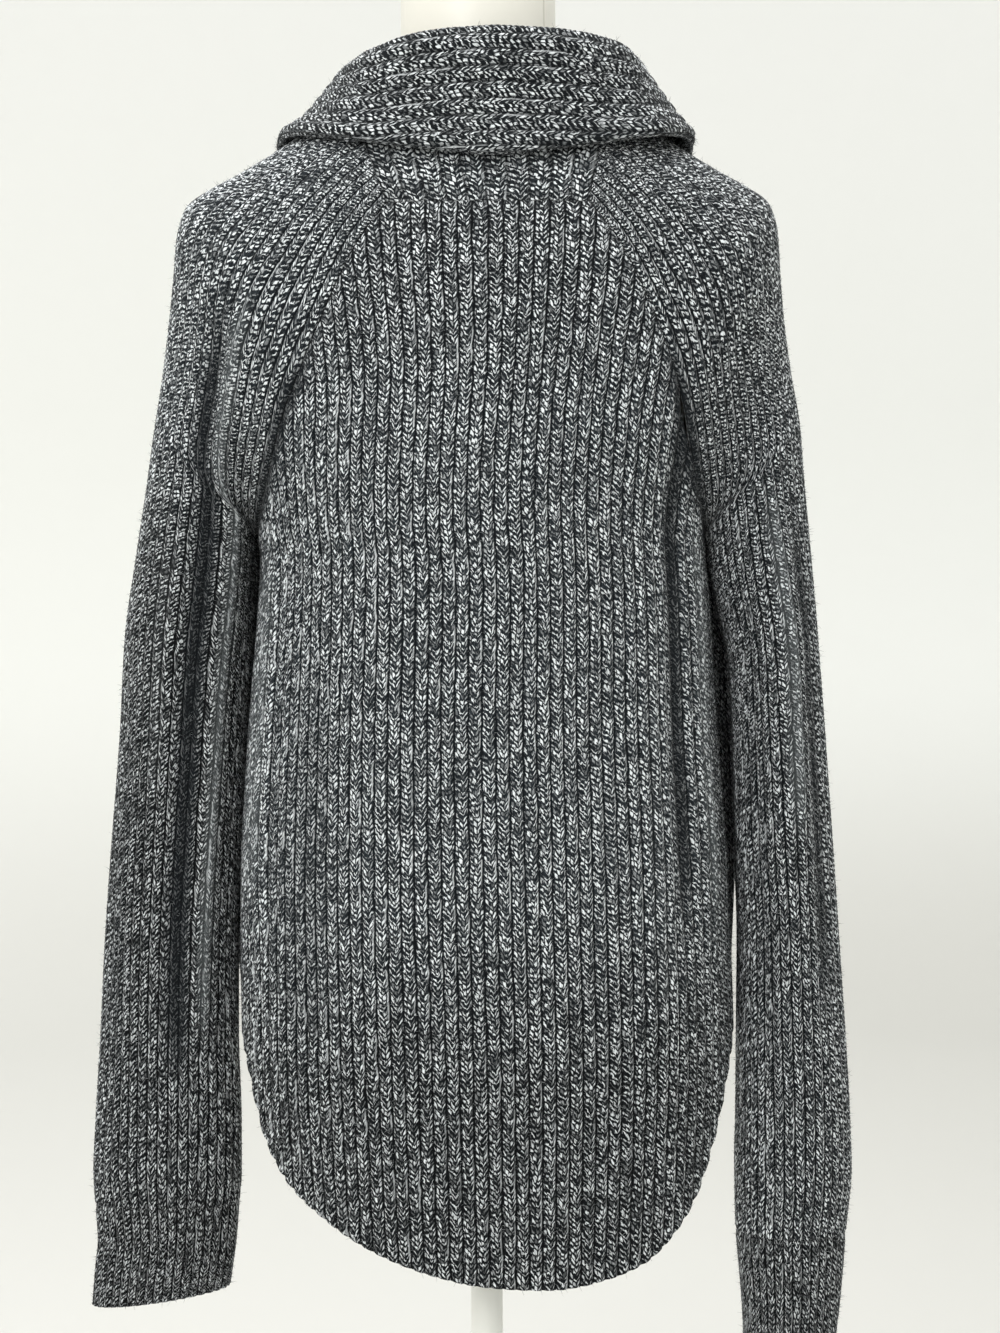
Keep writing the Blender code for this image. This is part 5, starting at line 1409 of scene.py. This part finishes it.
def lofted(name, rows, material):
    """Closed loft of rings of points, with flat ends."""
    rows = np.asarray(rows, float)
    count = rows.shape[1]
    quads = []
    for i in range(len(rows) - 1):
        for j in range(count):
            k = (j + 1) % count
            quads.append((i * count + j, i * count + k, (i + 1) * count + k, (i + 1) * count + j))
    mesh = bpy.data.meshes.new(name)
    low = list(range(count))[::-1]
    high = [(len(rows) - 1) * count + j for j in range(count)]
    mesh.from_pydata((rows.reshape(-1, 3) * MM).tolist(), [], quads + [low, high])
    for face in mesh.polygons:
        face.use_smooth = len(face.vertices) == 4
    mesh.materials.append(material)
    thing = bpy.data.objects.new(name, mesh)
    bpy.context.scene.collection.objects.link(thing)
    return thing


def turned(name, profile, sides, material):
    """Closed turned shape from a profile of radius and height."""
    angle = np.arange(sides) * 2 * math.pi / sides
    rows = [join(radius * np.cos(angle), radius * np.sin(angle), z + 0.0 * angle)
            for radius, z in profile if radius > 0.0]
    return lofted(name, rows, material)


def moulded_shell(name):
    """Warm white moulded plastic, a little uneven, with the seam of its two halves."""
    n = Nodes(name)
    x, y, z = n.here()
    cloud = n.noise(x * 14.0, y * 14.0 + z * 9.0, 3.0, detail=3.0)
    pores = n.noise(x * 900.0, z * 900.0 + y * 700.0, 5.0, detail=2.0)
    turn = y.maths("ARCTAN2", y, x)
    off = abs(turn - SEAM_TURN)
    seam = 1.0 - off.ramp(0.008, 0.028)
    lip = 1.0 - off.ramp(0.03, 0.10)
    colour = n.mix(0.5 + cloud * 0.35, (0.76, 0.735, 0.655, 1.0), (0.79, 0.775, 0.71, 1.0))
    colour = n.mix(seam * 0.5, colour, (0.50, 0.47, 0.40, 1.0))
    height = lip * 0.5 - seam + pores * 0.05
    bump = n.add("Bump", None, {"Strength": 0.35, "Distance": 0.0008, "Height": height})
    n.feed(Base_Color=colour, Roughness=0.42 + cloud * 0.06, Normal=bump)
    n.feed(Coat_Weight=0.12, Coat_Roughness=0.3)
    return n.material


def painted_steel(name, seed):
    """White powder coat with a fine orange-peel surface."""
    n = Nodes(name)
    x, y, z = n.here()
    peel = n.noise(x * 700.0 + y * 500.0, z * 700.0, seed, detail=2.0)
    cloud = n.noise(x * 9.0 + y * 7.0, z * 9.0, seed + 2.0, detail=2.0)
    colour = n.mix(0.5 + cloud * 0.4, (0.93, 0.93, 0.88, 1.0), (0.97, 0.97, 0.92, 1.0))
    bump = n.add("Bump", None, {"Strength": 0.2, "Distance": 0.0003, "Height": peel})
    n.feed(Base_Color=colour, Roughness=0.5 + cloud * 0.08, Normal=bump)
    return n.material


def make_form(material):
    heights = np.array(FORM["z"], float)
    levels = np.unique(np.concatenate((np.linspace(heights[0], heights[-1], 150), heights)))
    angle = np.arange(FORM_SIDES) * 2 * math.pi / FORM_SIDES
    rows = []
    for z in levels:
        half, back, front = [float(np.interp(z, heights, FORM[key])) - FORM_CLEAR
                             for key in ("half", "back", "front")]
        deep = np.where(np.sin(angle) > 0, back, front)
        rows.append(join(half * np.cos(angle), deep * np.sin(angle), z + 0.0 * angle))
    return lofted("form_shell", rows, material)


form = make_form(moulded_shell("dress_form_finish"))
pole = turned("pole_tube", POLE, 96, painted_steel("stand_pole_finish", 4.0))
plate = turned("plate_disc", PLATE, 160, painted_steel("stand_base_finish", 8.0))
print("form and stand:", len(form.data.polygons), "faces on the form")

# %% [markdown]
# ## Camera, floor and light
# The camera stands behind the garment at chest height, rolled by a hair, and frames it upright.
# The floor turns up into a pale wall all round, painted darker on the side away from the window as
# painted shade, and the light is a bright soft room with one large lamp like a window and another
# above.

# %% Camera, floor and light
CAMERA_AT = (-0.0118, 1.715, 0.85)
CAMERA_ROLL = 0.00684
HALF_HEIGHT = 0.26244     # half the height of the view at one metre
FLOOR_FLAT = 4.2          # metres of flat floor round the stand
WALL_TURN = 1.6
WALL_AT = 5.8
WALL_HIGH = 5.0


def make_camera():
    data = bpy.data.cameras.new("camera")
    data.sensor_width = 36.0
    data.lens = 18.0 / HALF_HEIGHT
    camera = bpy.data.objects.new("camera", data)
    bpy.context.scene.collection.objects.link(camera)
    right = Vector((-1.0, 0.0, -CAMERA_ROLL)).normalized()
    up = Vector((-CAMERA_ROLL, 0.0, 1.0)).normalized()
    camera.matrix_world = Matrix((
        (right.x, up.x, 0.0, CAMERA_AT[0]),
        (right.y, up.y, 1.0, CAMERA_AT[1]),
        (right.z, up.z, 0.0, CAMERA_AT[2]),
        (0.0, 0.0, 0.0, 1.0)))
    bpy.context.scene.camera = camera


def make_floor():
    """Round pale floor that turns up into a wall; painted shade on the side away from the window
    lamp.
    """
    profile = [(0.0, 0.0), (FLOOR_FLAT, 0.0)]
    profile += [(FLOOR_FLAT + WALL_TURN * math.sin(a), WALL_TURN - WALL_TURN * math.cos(a))
                for a in np.linspace(0.1, math.pi / 2, 14)]
    profile.append((WALL_AT, WALL_HIGH))
    count = 96
    points = [(0.0, 0.0, 0.0)]
    for radius, z in profile[1:]:
        for k in range(count):
            angle = 2 * math.pi * k / count
            points.append((radius * math.cos(angle), radius * math.sin(angle), z))
    faces = [(0, 1 + k, 1 + (k + 1) % count) for k in range(count)]
    for i in range(len(profile) - 2):
        for k in range(count):
            p = 1 + i * count + k
            q = 1 + i * count + (k + 1) % count
            faces.append((p, p + count, q + count, q))
    mesh = bpy.data.meshes.new("floor")
    mesh.from_pydata(points, [], faces)
    for face in mesh.polygons:
        face.use_smooth = True
    n = Nodes("floor_paint")
    x, y, z = n.here()
    # Painted shade: darker on the side away from the window lamp. The floor is also darker than the
    # wall.
    side = x.ramp(-3.0, 3.0)
    tall = z.ramp(0.0, 0.9)
    cloud = n.noise(x * 0.5 + y * 0.3, z * 0.6, 2.0, detail=2.0)
    low = n.mix(side, (0.58, 0.575, 0.545, 1.0), (0.74, 0.735, 0.705, 1.0))
    high = n.mix(side, (0.835, 0.845, 0.825, 1.0), (0.915, 0.92, 0.89, 1.0))
    paint = n.mix(tall, low, high)
    paint = n.mix(z.ramp(1.2, 3.0) * 0.5, paint, (0.87, 0.87, 0.86, 1.0))
    n.feed(Base_Color=n.mix(0.15 + cloud * 0.1, paint, (0.88, 0.88, 0.86, 1.0)), Roughness=0.9)
    mesh.materials.append(n.material)
    floor = bpy.data.objects.new("floor", mesh)
    bpy.context.scene.collection.objects.link(floor)


def soft_lamp(name, place, aim, size, power):
    data = bpy.data.lights.new(name, "AREA")
    data.shape = "DISK"
    data.size = size
    data.energy = power
    lamp = bpy.data.objects.new(name, data)
    lamp.location = place
    lamp.rotation_euler = (Vector(aim) - Vector(place)).to_track_quat("-Z", "Y").to_euler()
    bpy.context.scene.collection.objects.link(lamp)


def make_room_light(strength):
    world = bpy.data.worlds.new("room")
    world.use_nodes = True
    world.node_tree.nodes["Background"].inputs[0].default_value = (1.0, 1.0, 0.98, 1.0)
    world.node_tree.nodes["Background"].inputs[1].default_value = strength
    bpy.context.scene.world = world


CHEST = (0.0, 0.0, 0.9)   # what both lamps are aimed at
make_camera()
make_floor()
make_room_light(1.12)
soft_lamp("window", (1.6, 3.4, 2.6), CHEST, 2.4, 62.0)
soft_lamp("ceiling", (0.0, 0.4, 3.4), CHEST, 3.0, 46.0)
bpy.context.scene.view_settings.view_transform = "Standard"

# %% Riding, replacing and closing
for piece, node in ((back, "back"), (front_left, "front_left"), (front_right, "front_right"),
                    (sleeve_left, "sleeve_left"), (sleeve_right, "sleeve_right"),
                    (cuff_left, "cuff_left"), (cuff_right, "cuff_right"),
                    (strip, "back_neck_strip"), (collar, "collar"), (form, "dress_form"),
                    (pole, "stand_pole"), (plate, "stand_base")):
    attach(piece, "root")
    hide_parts(node)
    if piece.name in FUZZ:
        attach(FUZZ[piece.name], "root")
        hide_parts(node)
